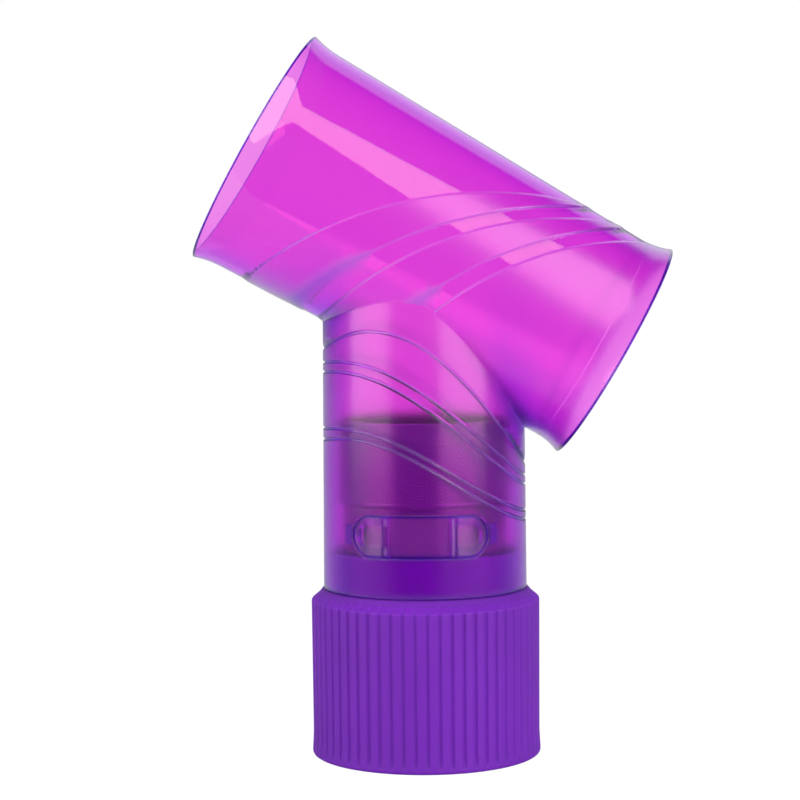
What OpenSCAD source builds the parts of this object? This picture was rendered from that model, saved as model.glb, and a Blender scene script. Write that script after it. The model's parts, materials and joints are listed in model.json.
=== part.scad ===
// Curl-spinning diffuser for a hair dryer.
// A translucent tilted barrel and its upright neck are one moulding. The neck stands on
// a ribbed silicone sleeve that grips the dryer's nozzle, and a stiff air guide tube
// stands in the sleeve and leads the air up the neck into the barrel.
// Millimetres, +Z up, origin at the centre of the sleeve's lower mouth, +X towards the
// low, narrow mouth of the barrel.

/* [Barrel] */
// Tilt of the barrel below the horizontal, in degrees
barrel_tilt = 30; // [20:1:36]
// Outer radius of the barrel where it crosses the neck's axis
barrel_r = 36.6; // [35.5:0.1:42]
// Loss of radius for each millimetre towards the narrow mouth
barrel_taper = 0.0305; // [0.01:0.0005:0.04]
// Length from the neck's axis to the wide, high mouth
wide_reach = 60.9; // [56:0.1:80]
// Length from the neck's axis to the narrow, low mouth
narrow_reach = 69.9; // [67:0.1:85]
// Height of the barrel's axis above the sleeve's seat, on the neck's axis
neck_rise = 110; // [104:0.5:130]
// Wall of the barrel
barrel_wall = 2; // [1.6:0.1:2.4]
// Length of the flare at the wide mouth
wide_flare_len = 9; // [6:0.5:10]
// Rise of the flare at the wide mouth
wide_flare = 1.3; // [0.6:0.1:2.4]
// Length of the flare at the narrow mouth
narrow_flare_len = 8; // [5:0.5:9]
// Rise of the flare at the narrow mouth
narrow_flare = 1.9; // [0.6:0.1:2.6]

/* [Swirl] */
// Height of the raised swirl bands on the barrel
band_h = 0.4; // [0.2:0.05:0.6]
// Height of the plain ring at the narrow mouth, a hair above the bands
ring_h = 0.5; // [0.3:0.05:0.7]
// Width of the grooves that wind round the neck
groove_w = 1; // [0.6:0.1:1.3]
// Depth of the grooves that wind round the neck
groove_d = 0.45; // [0.2:0.05:0.6]

/* [Neck] */
// Outer radius of the neck at its foot
neck_r = 32.5; // [32:0.1:33]
// Bore radius of the neck, which slides on the sleeve's spigot
neck_bore_r = 30; // [29.4:0.1:30.3]
// Loss of outer radius from the neck's foot to the barrel's axis
neck_draft = 0.7; // [0.2:0.1:0.9]

/* [Front plate] */
// Length of the plate across the front of the neck
plate_len = 41.6; // [38:0.1:44]
// Height of the plate
plate_h = 13; // [11:0.1:14]
// Height of the plate's middle above the sleeve's seat
plate_rise = 19.2; // [18.2:0.1:20.2]
// Turn of the plate round the neck, in degrees
plate_turn = -3.8; // [-6:0.1:6]
// Gap all round the plate in its window
plate_gap = 0.15; // [0.1:0.01:0.3]
// Width of the two upright ribs
plate_rib_w = 1.4; // [1:0.1:2]
// Distance from the plate's middle to each rib
plate_rib_x = 10.5; // [9:0.1:12]
// Depth of the plate's thin middle and end pockets
plate_dish = 0.9; // [0.3:0.1:1.1]
// Height of the tabs that hold the plate behind the neck's wall
tab_h = 6.2; // [4:0.1:7]
// Reach of each tab past the end of the plate, across the front
tab_reach = 2; // [1.5:0.1:3]

/* [Air guide] */
// Outer radius of the guide's upper tube
guide_r = 27.3; // [26.9:0.1:27.6]
// Wall of the guide
guide_wall = 1.8; // [1.4:0.1:2.2]
// Step from the upper tube to the narrower foot
guide_step = 1; // [0.8:0.1:1.2]
// Height of the step above the sleeve's seat
guide_step_rise = 28.2; // [27:0.1:32]
// Height of the guide's open top above the sleeve's seat
guide_top_rise = 53.9; // [45:0.1:56]
// Depth of the guide's foot below the sleeve's seat
guide_foot = 10; // [6:0.5:12]
// Height of the rounded bead round the step
bead_h = 1.6; // [1:0.1:2]

/* [Grip sleeve] */
// Height of the sleeve from its mouth to the neck's seat
sleeve_h = 53.4; // [50:0.1:62]
// Outer radius over the ribs at the top
sleeve_r = 36.5; // [36:0.1:39]
// Radius of the socket for the dryer's nozzle
socket_r = 32.5; // [30:0.1:33]
// Depth of the socket
socket_depth = 38; // [32:0.5:39.5]
// Radius of the inner lip that takes a small nozzle
lip_r = 23.5; // [20:0.1:24.5]
// Height of the spigot that stands up inside the neck
spigot_h = 12.3; // [9:0.1:12.5]
// Number of grip ribs
rib_count = 60; // [40:1:72]
// Width of the gap between two ribs
rib_gap = 1.1; // [0.7:0.1:1.4]
// Depth of the gap between two ribs
rib_depth = 0.6; // [0.3:0.1:0.8]
// Height of the plain band below the ribs
plain_foot = 2.4; // [1.6:0.1:5]

/* [Fits] */
// Radial clearance of a turning or sliding fit
fit_gap = 0.05; // [0.03:0.01:0.1]
// Gap between two faces that rest on each other
seat_gap = 0.1; // [0.05:0.01:0.2]

/* [Hidden] */
$fn = 96;

body_color = [0.80, 0.16, 0.78, 0.75];
plate_color = [0.62, 0.20, 0.80, 0.9];
guide_color = [0.37, 0.14, 0.50];
sleeve_color = [0.46, 0.17, 0.69];

seat_z = sleeve_h;
axis_z = seat_z + neck_rise;
far = 200;
ring_s = narrow_reach - narrow_flare_len;
curve_steps = 6;
ring_overlap = 1;
lip_round = 0.4;

// Swirl edges, drawn as arcs in the barrel's side view and carried along the line of
// sight: [distance of the centre before the narrow mouth, height of the centre across
// the axis, radius]. A band is raised between its first arc and the next one.
edge_a = [5.6, 88.4, 128.8];
edge_b = [34.2, 91.4, 141.5];
edge_c = [20.7, 69.3, 111.8];
edge_d = [40.0, 61.7, 111.7];
edge_e = [35.8, 54.7, 99.5];
top_tail = [-31, 16];
low_tail = [[-113.3, 0], [-108, 14], [-95.9, 0]];

// Neck grooves in side view, each as [drop below the barrel's axis at the middle, fall to
// the right, drop at both sides, late rise to the right].
neck_grooves = [
    [33.1, 21.3, 19.1, 2.8],
    [47.1, 22.5, 9.2, 4.2],
    [51.1, 23.0, 8.1, 4.8],
    [66.4, 18.1, 5.8, 4.7],
    [69.1, 18.7, 6.3, 5.7]
];
groove_steps = 26;

plate_z = seat_z + plate_rise;
plate_outer_r = neck_r_at(plate_rise) - seat_gap;
plate_inner_r = neck_bore_r + seat_gap;
plate_end = 0.75;
tab_root = 2.6;
tab_hook = 1.8;
tab_bite = 0.4;
pocket_rim = 1.9;

guide_foot_r = guide_r - guide_step;
bead_proud = 0.3;
guide_round = 0.5;
tab_outer_r = neck_bore_r - 0.15;
tab_inner_r = guide_r + bead_proud + 0.7;

recess_r = guide_foot_r + fit_gap;
spigot_r = neck_bore_r - fit_gap;
seat_r = neck_r + 0.25;
shoulder_drop = 3.7;
crease_drop = 1.7;
crease_r = 34.1 - 36.5;
waist_loss = 0.2;
foot_flare = 0.2;
foot_round = 1.4;
lead_in = 0.5;

// Outer radius of the neck at a height above the sleeve's seat
function neck_r_at(rise) = neck_r - neck_draft * rise / neck_rise;

// Rise of a mouth's flare, a parabola that starts where the flare starts
function flare(run, length, rise) = run <= 0 ? 0 : rise * pow(run / length, 2);

// Outer radius of the barrel at a distance s along its axis from the neck's axis
function barrel_r_at(s) =
    barrel_r - barrel_taper * s
    + flare(-s - wide_reach + wide_flare_len, wide_flare_len, wide_flare)
    + flare(s - ring_s, narrow_flare_len, narrow_flare);

function steps(from, to) = [for (i = [0:curve_steps]) from + (to - from) * i / curve_steps];

// Stations along the barrel where its profile bends, up to the ring and along it
plain_stations = concat(steps(-wide_reach, -wide_reach + wide_flare_len), [ring_s]);
ring_stations = steps(ring_s, narrow_reach);

// Height of a neck groove's middle line at u, which runs from -1 at the left to 1
function groove_z(g, u) = axis_z - g[0] - g[1] * u - g[2] * u * u + g[3] * u * u * u;

function groove_slope(g, u) = (-g[1] - 2 * g[2] * u + 3 * g[3] * u * u) / neck_r;

// Lays a solid that was made along +Z on the barrel's axis, towards the narrow mouth
module on_barrel_axis() {
    translate([0, 0, axis_z]) rotate([0, 90 + barrel_tilt, 0]) children();
}

// Carries a flat shape in the barrel's side view through the barrel, from y = -far to far
module through_barrel() {
    translate([0, 0, axis_z])
        rotate([0, barrel_tilt, 0])
            rotate([90, 0, 0])
                translate([0, 0, -far]) linear_extrude(2 * far) children();
}

// The barrel as a solid of revolution; grow moves its surface out or in, and ring raises the
// narrow mouth's ring over the rest
module barrel_solid(grow, ring, overrun) {
    first = ring > 0 ? 0 : 1;
    pts = concat(
        [for (s = plain_stations) [barrel_r_at(s) + grow, s]],
        [for (i = [first:curve_steps]) [barrel_r_at(ring_stations[i]) + grow + ring, ring_stations[i]]]
    );
    wide_r = pts[0][0];
    narrow_r = pts[len(pts) - 1][0];
    ends = overrun > 0
        ? concat([[0, -wide_reach - overrun], [wide_r, -wide_reach - overrun]],
            pts,
            [[narrow_r, narrow_reach + overrun], [0, narrow_reach + overrun]])
        : concat([[0, -wide_reach], [wide_r - lip_round, -wide_reach], [wide_r, -wide_reach + lip_round]],
            [for (i = [1:len(pts) - 2]) pts[i]],
            [[narrow_r, narrow_reach - lip_round], [narrow_r - lip_round, narrow_reach],
             [0, narrow_reach]]);
    on_barrel_axis() rotate_extrude() polygon(ends);
}

module swirl_disc(edge) {
    translate([narrow_reach + edge[0], -edge[1]]) circle(r = edge[2], $fn = 180);
}

module swirl_band(upper, lower) {
    difference() {
        swirl_disc(upper);
        swirl_disc(lower);
    }
}

// Side view of the three raised bands; the last one runs on to the narrow mouth's ring
module swirl_view() {
    intersection() {
        union() {
            swirl_band(edge_a, edge_b);
            swirl_band(edge_c, edge_d);
            swirl_disc(edge_e);
        }
        translate([-far, -far / 2]) square([far + ring_s + ring_overlap, far]);
    }
}

// The bands lie on the near side and end in tapered tails just behind the outline
module swirl_side() {
    translate([0, 0, axis_z]) rotate([0, barrel_tilt, 0]) {
        linear_extrude(far)
            polygon([[-far, -far], [far, -far], [far, top_tail[1]], [ring_s, top_tail[1]],
                [narrow_reach + top_tail[0], 0], [-far, 0]]);
        translate([0, 0, -far]) linear_extrude(far)
            polygon(concat([[-far, -far], [far, -far], [far, 0]],
                [for (i = [2:-1:0]) [narrow_reach + low_tail[i][0], low_tail[i][1]]], [[-far, 0]]));
    }
}

module swirl_pads() {
    intersection() {
        barrel_solid(band_h, 0, 0);
        through_barrel() swirl_view();
        swirl_side();
    }
}

module neck_outer() {
    translate([0, 0, seat_z + seat_gap])
        cylinder(r1 = neck_r, r2 = neck_r_at(neck_rise), h = neck_rise - seat_gap);
}

// A groove follows its wave in side view and keeps its width and depth
module neck_groove(g) {
    us = [for (i = [0:groove_steps]) -1.1 + 2.2 * i / groove_steps];
    half = groove_w / 2;
    upper = [for (u = us) [u * neck_r, groove_z(g, u) + half * sqrt(1 + pow(groove_slope(g, u), 2))]];
    lower = [for (i = [groove_steps:-1:0])
        [us[i] * neck_r, groove_z(g, us[i]) - half * sqrt(1 + pow(groove_slope(g, us[i]), 2))]];
    rotate([90, 0, 0])
        translate([0, 0, -far / 2]) linear_extrude(far) polygon(concat(upper, lower));
}

module neck_groove_set() {
    difference() {
        union() {
            for (g = neck_grooves) neck_groove(g);
        }
        cylinder(r = neck_r_at(neck_rise / 2) - groove_d, h = axis_z);
    }
}

// The plate's outline in front view, grown by a gap or shrunk by a rim. Its round ends look
// narrower than half circles, because they lie on the curve of the neck.
module plate_view(grow) {
    r = plate_h / 2 + grow;
    run = plate_len - plate_h * plate_end;
    polygon([for (side = [-1, 1], t = [-90:10:90])
        [side * (run / 2 + plate_end * r * cos(t)), side * r * sin(t)]]);
}

// Carries a flat front view into the neck's front wall, at the plate's height and turn
module through_front() {
    translate([0, 0, plate_z])
        rotate([0, 0, plate_turn])
            rotate([90, 0, 0])
                translate([0, 0, neck_bore_r / 3]) linear_extrude(neck_r) children();
}

module tube(outer, inner, low, high) {
    translate([0, 0, low]) difference() {
        cylinder(r = outer, h = high - low);
        translate([0, 0, -1]) cylinder(r = inner, h = high - low + 2);
    }
}

module barrel_body() {
    color(body_color) difference() {
        union() {
            neck_outer();
            barrel_solid(0, ring_h, 0);
            swirl_pads();
        }
        barrel_solid(-barrel_wall, 0, 1);
        translate([0, 0, seat_z]) cylinder(r = neck_bore_r, h = neck_rise);
        neck_groove_set();
        through_front() plate_view(plate_gap);
    }
}

// A tab reaches behind the neck's wall from one end of the plate
module plate_tab(side) {
    tip = plate_len / 2 + tab_reach;
    root = plate_len / 2 - tab_root;
    intersection() {
        union() {
            tube(tab_outer_r, tab_inner_r, plate_z - tab_h, plate_z + tab_h);
            intersection() {
                tube(plate_inner_r + seat_gap + tab_bite, tab_inner_r, plate_z - tab_h, plate_z + tab_h);
                through_front() translate([side * (root + tab_hook / 2), 0])
                    square([tab_hook, tab_h], center = true);
            }
        }
        through_front() translate([side * (root + tip) / 2, 0])
            square([tip - root, tab_h], center = true);
    }
}

module plate_pockets() {
    through_front() {
        square([2 * plate_rib_x - plate_rib_w, 2 * plate_h], center = true);
        for (side = [-1, 1]) intersection() {
            plate_view(-pocket_rim);
            translate([side * (plate_rib_x + plate_rib_w / 2 + plate_len / 2), 0])
                square([plate_len, plate_h], center = true);
        }
    }
}

module front_plate() {
    color(plate_color) {
        difference() {
            intersection() {
                tube(plate_outer_r, plate_inner_r, plate_z - plate_h, plate_z + plate_h);
                through_front() plate_view(0);
            }
            difference() {
                plate_pockets();
                cylinder(r = plate_outer_r - plate_dish, h = axis_z);
            }
        }
        for (side = [-1, 1]) plate_tab(side);
    }
}

module air_guide() {
    low = seat_z - guide_foot + seat_gap;
    step = seat_z + guide_step_rise;
    top = seat_z + guide_top_rise;
    bead_r = guide_r + bead_proud;
    color(guide_color) rotate_extrude() polygon([
        [guide_foot_r - guide_wall, low],
        [guide_foot_r - guide_round, low],
        [guide_foot_r, low + guide_round],
        [guide_foot_r, step - bead_h / 2],
        [bead_r - bead_h / 4, step - bead_h / 2],
        [bead_r, step - bead_h / 4],
        [bead_r, step + bead_h / 4],
        [guide_r, step + bead_h / 2],
        [guide_r, top - guide_round],
        [guide_r - guide_round, top],
        [guide_r - guide_wall + guide_round / 2, top],
        [guide_r - guide_wall, top - guide_round],
        [guide_r - guide_wall, step + guide_step],
        [guide_foot_r - guide_wall, step]
    ]);
}

// A quarter round from the sleeve's lower face up to its side
function foot_arc(r) = [for (i = [0:curve_steps]) let (t = 90 * i / curve_steps)
    [r - foot_round + foot_round * sin(t), foot_round - foot_round * cos(t)]];

module sleeve_profile() {
    waist_r = sleeve_r - waist_loss;
    polygon(concat(
        [[socket_r, 0]],
        foot_arc(sleeve_r + foot_flare),
        [[waist_r, foot_round * 5],
         [sleeve_r, seat_z - shoulder_drop],
         [sleeve_r + crease_r, seat_z - crease_drop],
         [seat_r, seat_z],
         [spigot_r, seat_z],
         [spigot_r, seat_z + spigot_h - lead_in],
         [spigot_r - lead_in, seat_z + spigot_h],
         [recess_r + lead_in, seat_z + spigot_h],
         [recess_r, seat_z + spigot_h - lead_in],
         [recess_r, seat_z - guide_foot],
         [lip_r, seat_z - guide_foot],
         [lip_r, socket_depth + lead_in],
         [lip_r + lead_in, socket_depth],
         [socket_r, socket_depth]]
    ));
}

module rib_gaps() {
    for (i = [0:rib_count - 1])
        rotate([0, 0, 360 * i / rib_count])
            translate([sleeve_r - waist_loss - rib_depth, -rib_gap / 2, plain_foot])
                cube([4 * rib_depth, rib_gap, sleeve_h]);
}

module grip_sleeve() {
    color(sleeve_color) difference() {
        rotate_extrude() sleeve_profile();
        rib_gaps();
    }
}

barrel_body();
front_plate();
air_guide();
grip_sleeve();
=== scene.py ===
"""Looks of a curl-spinning hair dryer diffuser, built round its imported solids.

The object is a tilted open barrel and an upright neck in one clear tinted moulding, a
clip-in plate in the neck's front, a stiff air guide tube inside the neck and a ribbed
silicone sleeve below. Lengths in the size classes are millimetres; meshes are metres.
"""

from __future__ import annotations

import json
import logging
import math
from collections.abc import Callable, Sequence
from dataclasses import dataclass, field
from enum import Enum
from typing import NamedTuple

import bpy
import numpy as np
from mathutils import Matrix, Vector
from mathutils.geometry import delaunay_2d_cdt

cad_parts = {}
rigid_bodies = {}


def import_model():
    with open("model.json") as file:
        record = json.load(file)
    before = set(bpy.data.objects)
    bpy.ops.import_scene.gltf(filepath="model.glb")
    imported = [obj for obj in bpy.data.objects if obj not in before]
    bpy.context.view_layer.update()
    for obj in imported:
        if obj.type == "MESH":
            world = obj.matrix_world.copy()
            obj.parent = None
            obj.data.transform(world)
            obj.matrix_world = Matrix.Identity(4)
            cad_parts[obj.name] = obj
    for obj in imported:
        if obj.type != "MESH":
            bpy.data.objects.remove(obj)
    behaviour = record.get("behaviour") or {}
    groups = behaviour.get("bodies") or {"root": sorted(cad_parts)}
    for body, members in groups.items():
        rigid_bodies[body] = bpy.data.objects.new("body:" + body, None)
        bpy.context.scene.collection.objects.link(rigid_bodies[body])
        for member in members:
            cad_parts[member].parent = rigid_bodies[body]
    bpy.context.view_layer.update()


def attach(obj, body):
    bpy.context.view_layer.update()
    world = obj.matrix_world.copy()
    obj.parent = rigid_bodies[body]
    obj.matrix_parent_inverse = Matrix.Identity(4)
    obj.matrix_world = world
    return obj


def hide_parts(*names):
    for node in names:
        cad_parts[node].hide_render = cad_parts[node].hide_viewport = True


LOG = logging.getLogger("diffuser")
MM = 0.001
Array = np.ndarray
Socket = bpy.types.NodeSocket
Surface = Callable[[Array, Array], Array]
Look = Callable[[Array, Array], tuple[Array, Array, Array]]


# --------------------------------------------------------------------------- helpers


class Amounts(NamedTuple):
    """How satin, how much painted shade and how frosted a place is, each from 0 to 1 or a share."""

    satin: float = 0.0
    painted_shade: float = 0.0
    frost: float = 0.0


PLAIN = Amounts()


def smooth(edge0: float | Array, edge1: float | Array, x: Array) -> Array:
    """Eases from 0 at edge0 to 1 at edge1: t squared times (3 minus 2 t).

    Args:
        edge0: Where the rise starts.
        edge1: Where the rise ends.
        x: Values to ease.

    Returns:
        Eased values between 0 and 1.
    """
    t = np.clip((x - edge0) / (edge1 - edge0), 0.0, 1.0)
    return t * t * (3.0 - 2.0 * t)


@dataclass(frozen=True)
class Ease:
    """An amount that grows smoothly from none at one place to its full share at another."""

    start: float
    end: float
    share: float = 1.0

    def __call__(self, x: Array, origin: float = 0.0) -> Array:
        """Share times the eased amount at places x, with start and end counted from an origin."""
        return self.share * smooth(origin + self.start, origin + self.end, x)


def round_axis(turn: Array, r: Array | float, z: Array | float) -> Array:
    """Points round the neck's axis: x is r times the sine, y minus r times the cosine.

    Args:
        turn: Angle from straight in front.
        r: Radius.
        z: Height.

    Returns:
        Points, shape (n, 3).
    """
    return np.stack([r * np.sin(turn), -r * np.cos(turn), z + 0 * turn], axis=1)


def lattice(across: Array, up: Array) -> Array:
    """Every pair of the two rows of numbers, row by row, shape (n, 2)."""
    return np.stack(np.meshgrid(across, up), axis=-1).reshape(-1, 2)


def inside_loop(points: Array, loop: Array) -> Array:
    """Tells which points lie inside a closed loop, by counting crossings of a level ray.

    Args:
        points: Points in the plane, shape (n, 2).
        loop: Corners of the loop in order, shape (k, 2).

    Returns:
        A truth value for each point.
    """
    x, y = points[:, 0:1], points[:, 1:2]
    x0, y0 = loop[:, 0][None], loop[:, 1][None]
    x1, y1 = np.roll(loop[:, 0], -1)[None], np.roll(loop[:, 1], -1)[None]
    spans = (y0 > y) != (y1 > y)
    rise = np.where(np.abs(y1 - y0) < 1e-12, 1e-12, y1 - y0)
    return (np.sum(spans & (x < x0 + (y - y0) * (x1 - x0) / rise), axis=1) % 2) == 1


def clear_of(points: Array, loop: Array, gap: float) -> Array:
    """Keeps the points outside a loop that are further than a gap from its corners.

    Args:
        points: Points in the plane, shape (n, 2).
        loop: Corners of the loop in order, shape (k, 2).
        gap: The least distance.

    Returns:
        The points that are kept.
    """
    outside = points[~inside_loop(points, loop)]
    away = np.min(np.linalg.norm(outside[:, None] - loop[None], axis=2), axis=1)
    return outside[away > gap]


@dataclass
class Patch:
    """A stretch of surface: points, triangles, corner normals, and satin, painted shade and frost."""

    points: Array
    faces: Array
    normals: Array
    look: Array


@dataclass
class Sheet:
    """A flat map that is triangulated along chosen lines and then laid on a surface.

    Lines are chains of map points that triangles must follow, such as a border; rows are
    loose points beside an edge, such as the foot and the brow of a moulded step; the fill
    is a lattice of points between them.
    """

    points: list[Array] = field(default_factory=list)
    links: list[Array] = field(default_factory=list)
    count: int = 0

    def add_row(self, row: Array) -> None:
        """Adds loose map points, shape (k, 2)."""
        self.points.append(row)
        self.count += len(row)

    def add_line(self, chain: Array, closed: bool = False) -> None:
        """Adds a chain of map points whose segments become edges.

        Args:
            chain: Map points in order, shape (k, 2).
            closed: Whether the last point joins the first.
        """
        k = len(chain)
        first = np.arange(k if closed else k - 1)
        self.links.append(self.count + np.stack([first, (first + 1) % k], axis=1))
        self.add_row(chain)

    def add_fill(self, points: Array, keep_off: float) -> None:
        """Adds lattice points that lie clear of every point so far.

        Args:
            points: Lattice points, shape (n, 2).
            keep_off: Least distance from any earlier point, in millimetres.
        """
        earlier = np.concatenate(self.points)
        near = np.zeros(len(points), bool)
        for part in np.array_split(earlier, max(1, len(earlier) // 400)):
            gap = points[:, None, :] - part[None]
            near |= np.min(np.einsum("nkd,nkd->nk", gap, gap), axis=1) < keep_off**2
        self.add_row(points[~near])

    def triangles(self) -> tuple[Array, Array]:
        """Triangulates the map, following its lines.

        Returns:
            Map points, shape (n, 2), and triangles, shape (m, 3).
        """
        exact = np.concatenate(self.points)
        flat = [Vector(p) for p in exact.tolist()]
        out = delaunay_2d_cdt(flat, np.concatenate(self.links).tolist(), [], 0, 1e-5)
        uv = np.array([exact[own[0]] if own else tuple(v) for v, own in zip(out[0], out[3])])
        return uv, np.array(out[2], int).reshape(-1, 3)


def lay(
    uv: Array, faces: Array, surface: Surface, look: Look | Amounts = PLAIN, flip: bool = False
) -> Patch:
    """Lays triangles of a map on a surface, with the surface's own normals.

    The normal is the cross product of the two steps along the map, each a small central
    difference of the surface.

    Args:
        uv: Map points.
        faces: Triangles of the map.
        surface: Gives a point in millimetres for map columns u and v.
        look: Amounts of satin, painted shade and frost, or what gives them for u and v.
        flip: Whether outside is the other side.

    Returns:
        The patch.
    """
    u, v = uv[:, 0], uv[:, 1]
    step = 0.01
    along_u = surface(u + step, v) - surface(u - step, v)
    along_v = surface(u, v + step) - surface(u, v - step)
    normals = np.cross(along_u, along_v)
    normals /= np.linalg.norm(normals, axis=1, keepdims=True)
    a, b, c = (np.append(uv[faces[:, corner]], np.zeros((len(faces), 1)), axis=1) for corner in range(3))
    turned = np.cross(b - a, c - a)[:, 2:] < 0
    wound = np.where(turned, faces[:, ::-1], faces)
    if flip:
        wound, normals = wound[:, ::-1], -normals
    amounts = np.stack(look(u, v), axis=1) if callable(look) else np.tile(look, (len(uv), 1))
    return Patch(surface(u, v), wound, normals, amounts)


def pin_loop(patch: Patch, uv: Array, loop_uv: Array, loop: Array) -> None:
    """Moves the patch's points that lie on a shared loop exactly on to the loop.

    Args:
        patch: The patch to change.
        uv: Its map points.
        loop_uv: The loop in the same map.
        loop: The loop's true points in millimetres.
    """
    gap = uv[:, None, :] - loop_uv[None]
    nearest = np.argmin(np.einsum("nkd,nkd->nk", gap, gap), axis=0)
    patch.points[nearest] = loop


def strip(rows: Sequence[Array], look: Amounts = PLAIN, flip: bool = False) -> Patch:
    """Joins closed rings of equal count by bands of triangles, with smooth normals.

    Args:
        rows: Rings in order, each of shape (k, 3).
        look: Satin, painted shade and frost of the whole strip.
        flip: Whether outside is the other side.

    Returns:
        The patch.
    """
    points = np.stack(rows)
    n, k = points.shape[:2]
    round_step = np.roll(points, -1, axis=1) - np.roll(points, 1, axis=1)
    normals = np.cross(round_step, np.gradient(points, axis=0)).reshape(-1, 3)
    normals /= np.maximum(np.linalg.norm(normals, axis=1, keepdims=True), 1e-12)
    i, j = np.meshgrid(np.arange(n - 1), np.arange(k), indexing="ij")
    a, b = i * k + j, i * k + (j + 1) % k
    c, d = b + k, a + k
    faces = np.concatenate([np.stack(corners, -1).reshape(-1, 3) for corners in ((a, b, c), (a, c, d))])
    if flip:
        faces, normals = faces[:, ::-1], -normals
    return Patch(points.reshape(-1, 3), faces, normals, np.tile(look, (n * k, 1)))


def make_mesh(name: str, patches: Sequence[Patch]) -> bpy.types.Object:
    """Welds patches into one closed mesh that keeps each patch's own normals.

    Args:
        name: Name of the object and its mesh.
        patches: Patches that share the points on their borders.

    Returns:
        The object, linked to the scene at the origin.
    """
    starts = np.cumsum([0] + [len(p.points) for p in patches])
    points = np.concatenate([p.points for p in patches])
    faces = np.concatenate([p.faces + s for p, s in zip(patches, starts)])
    normals = np.concatenate([p.normals for p in patches])
    looks = np.concatenate([p.look for p in patches])
    _, first, back = np.unique(np.round(points, 5), axis=0, return_index=True, return_inverse=True)
    welded = back.reshape(-1)[faces]
    whole = np.all(welded != np.roll(welded, -1, axis=1), axis=1)
    welded, corners = welded[whole], faces[whole]
    mesh = bpy.data.meshes.new(name)
    mesh.from_pydata((points[first] * MM).tolist(), [], welded.tolist())
    mesh.polygons.foreach_set("use_smooth", np.ones(len(welded), bool))
    mesh.normals_split_custom_set(normals[corners].reshape(-1, 3).tolist())
    # corner amounts of satin, painted shade and frost
    for column, attribute in enumerate(("satin", "painted_shade", "frost")):
        layer = mesh.attributes.new(attribute, "FLOAT", "CORNER")
        layer.data.foreach_set("value", looks[corners, column].reshape(-1).astype(np.float32))
    mesh.update()
    edges = np.sort(np.concatenate([welded[:, pair] for pair in ([0, 1], [1, 2], [2, 0])]), axis=1)
    _, uses = np.unique(edges, axis=0, return_counts=True)
    LOG.info("%s: %d triangles, %d open or doubled edges", name, len(welded), int(np.sum(uses != 2)))
    piece = bpy.data.objects.new(name, mesh)
    bpy.context.scene.collection.objects.link(piece)
    return piece


# ----------------------------------------------------------------------------- sizes


@dataclass(frozen=True)
class SleeveSizes:
    """Sizes of the silicone sleeve."""

    height: float = 53.4
    radius: float = 36.5
    waist_loss: float = 0.2
    foot_flare: float = 0.2
    foot_round: float = 1.4
    socket_r: float = 32.5
    socket_depth: float = 38.0
    lip_r: float = 23.5
    recess_r: float = 26.35
    recess_low: float = 43.4
    spigot_r: float = 29.95
    spigot_top: float = 65.7
    seat_r: float = 32.75
    crease_r: float = 34.1
    crease_drop: float = 1.7
    shoulder_drop: float = 3.7
    lead_in: float = 0.5
    ribs: int = 60
    gap_w: float = 1.1
    gap_d: float = 0.6
    gap_flat: float = 0.55
    gap_brow: float = 1.3
    plain_foot: float = 2.4


@dataclass(frozen=True)
class GuideSizes:
    """Sizes of the air guide tube."""

    radius: float = 27.3
    foot_r: float = 26.3
    wall: float = 1.8
    low: float = 43.5
    step: float = 81.6
    top: float = 107.3
    bead_r: float = 27.6
    bead_h: float = 1.6
    edge: float = 0.5


@dataclass(frozen=True)
class BodySizes:
    """Sizes of the barrel and neck moulding; s runs along the barrel, q across it.

    A value that ends in soft is half the width over which a step eases. A groove's floor
    and brow are the shares of its width where its floor ends and its brow begins.
    """

    tilt: float = 30.0
    axis_z: float = 163.4
    radius: float = 36.6
    taper: float = 0.0305
    wide: float = -60.9
    narrow: float = 69.9
    wide_flare_len: float = 9.0
    wide_flare: float = 1.3
    narrow_flare_len: float = 8.0
    narrow_flare: float = 1.9
    wall: float = 2.0
    rim_round: float = 0.12
    rim_bulge: float = 0.3
    band_h: float = 0.4
    ring_s: float = 61.9
    ring_h: float = 0.5
    ring_soft: float = 0.12
    ring_bend_q: float = 29.0
    ring_lean: float = 2.2
    ring_least: float = 40.0
    back_soft: float = 0.2
    side_soft: float = 0.06
    tail_s: float = -43.4
    tail_q: float = -38.0
    tail_run: float = 0.53
    tail_rise: float = 0.85
    tail_end: float = -22.5
    tail_soft: float = 0.5
    neck_r: float = 32.5
    neck_low: float = 53.5
    neck_draft: float = 0.7
    neck_rise: float = 110.0
    bore_r: float = 30.0
    foot_round: float = 0.25
    bore_round: float = 0.3
    groove_w: float = 1.0
    groove_d: float = 0.45
    groove_floor: float = 0.28
    groove_brow: float = 0.54
    window_edge: float = 0.25
    window_edge_w: float = 0.5


@dataclass(frozen=True)
class PlateSizes:
    """Sizes of the front plate."""

    length: float = 41.6
    height: float = 13.0
    end: float = 0.75
    middle_z: float = 72.6
    turn: float = -3.8
    gap: float = 0.15
    rib_x: float = 10.5
    rib_w: float = 1.4
    dish: float = 0.9
    rim: float = 1.9
    outer_r: float = 32.28
    inner_r: float = 30.1
    tab_h: float = 6.2
    tab_reach: float = 2.0
    tab_root: float = 0.3
    tab_round: float = 0.12
    tab_outer_r: float = 29.85
    tab_inner_r: float = 28.3

    @property
    def run(self) -> float:
        """Half the length of the straight sides."""
        return (self.length - self.height * self.end) / 2

    def inset(self, x: Array, z: Array) -> Array:
        """Distance inside the outline: half the height less the way out from the middle line."""
        return self.height / 2 - np.hypot(np.maximum(0, np.abs(x) - self.run) / self.end, z)


# ---------------------------------------------------------------------------- finishes


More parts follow.
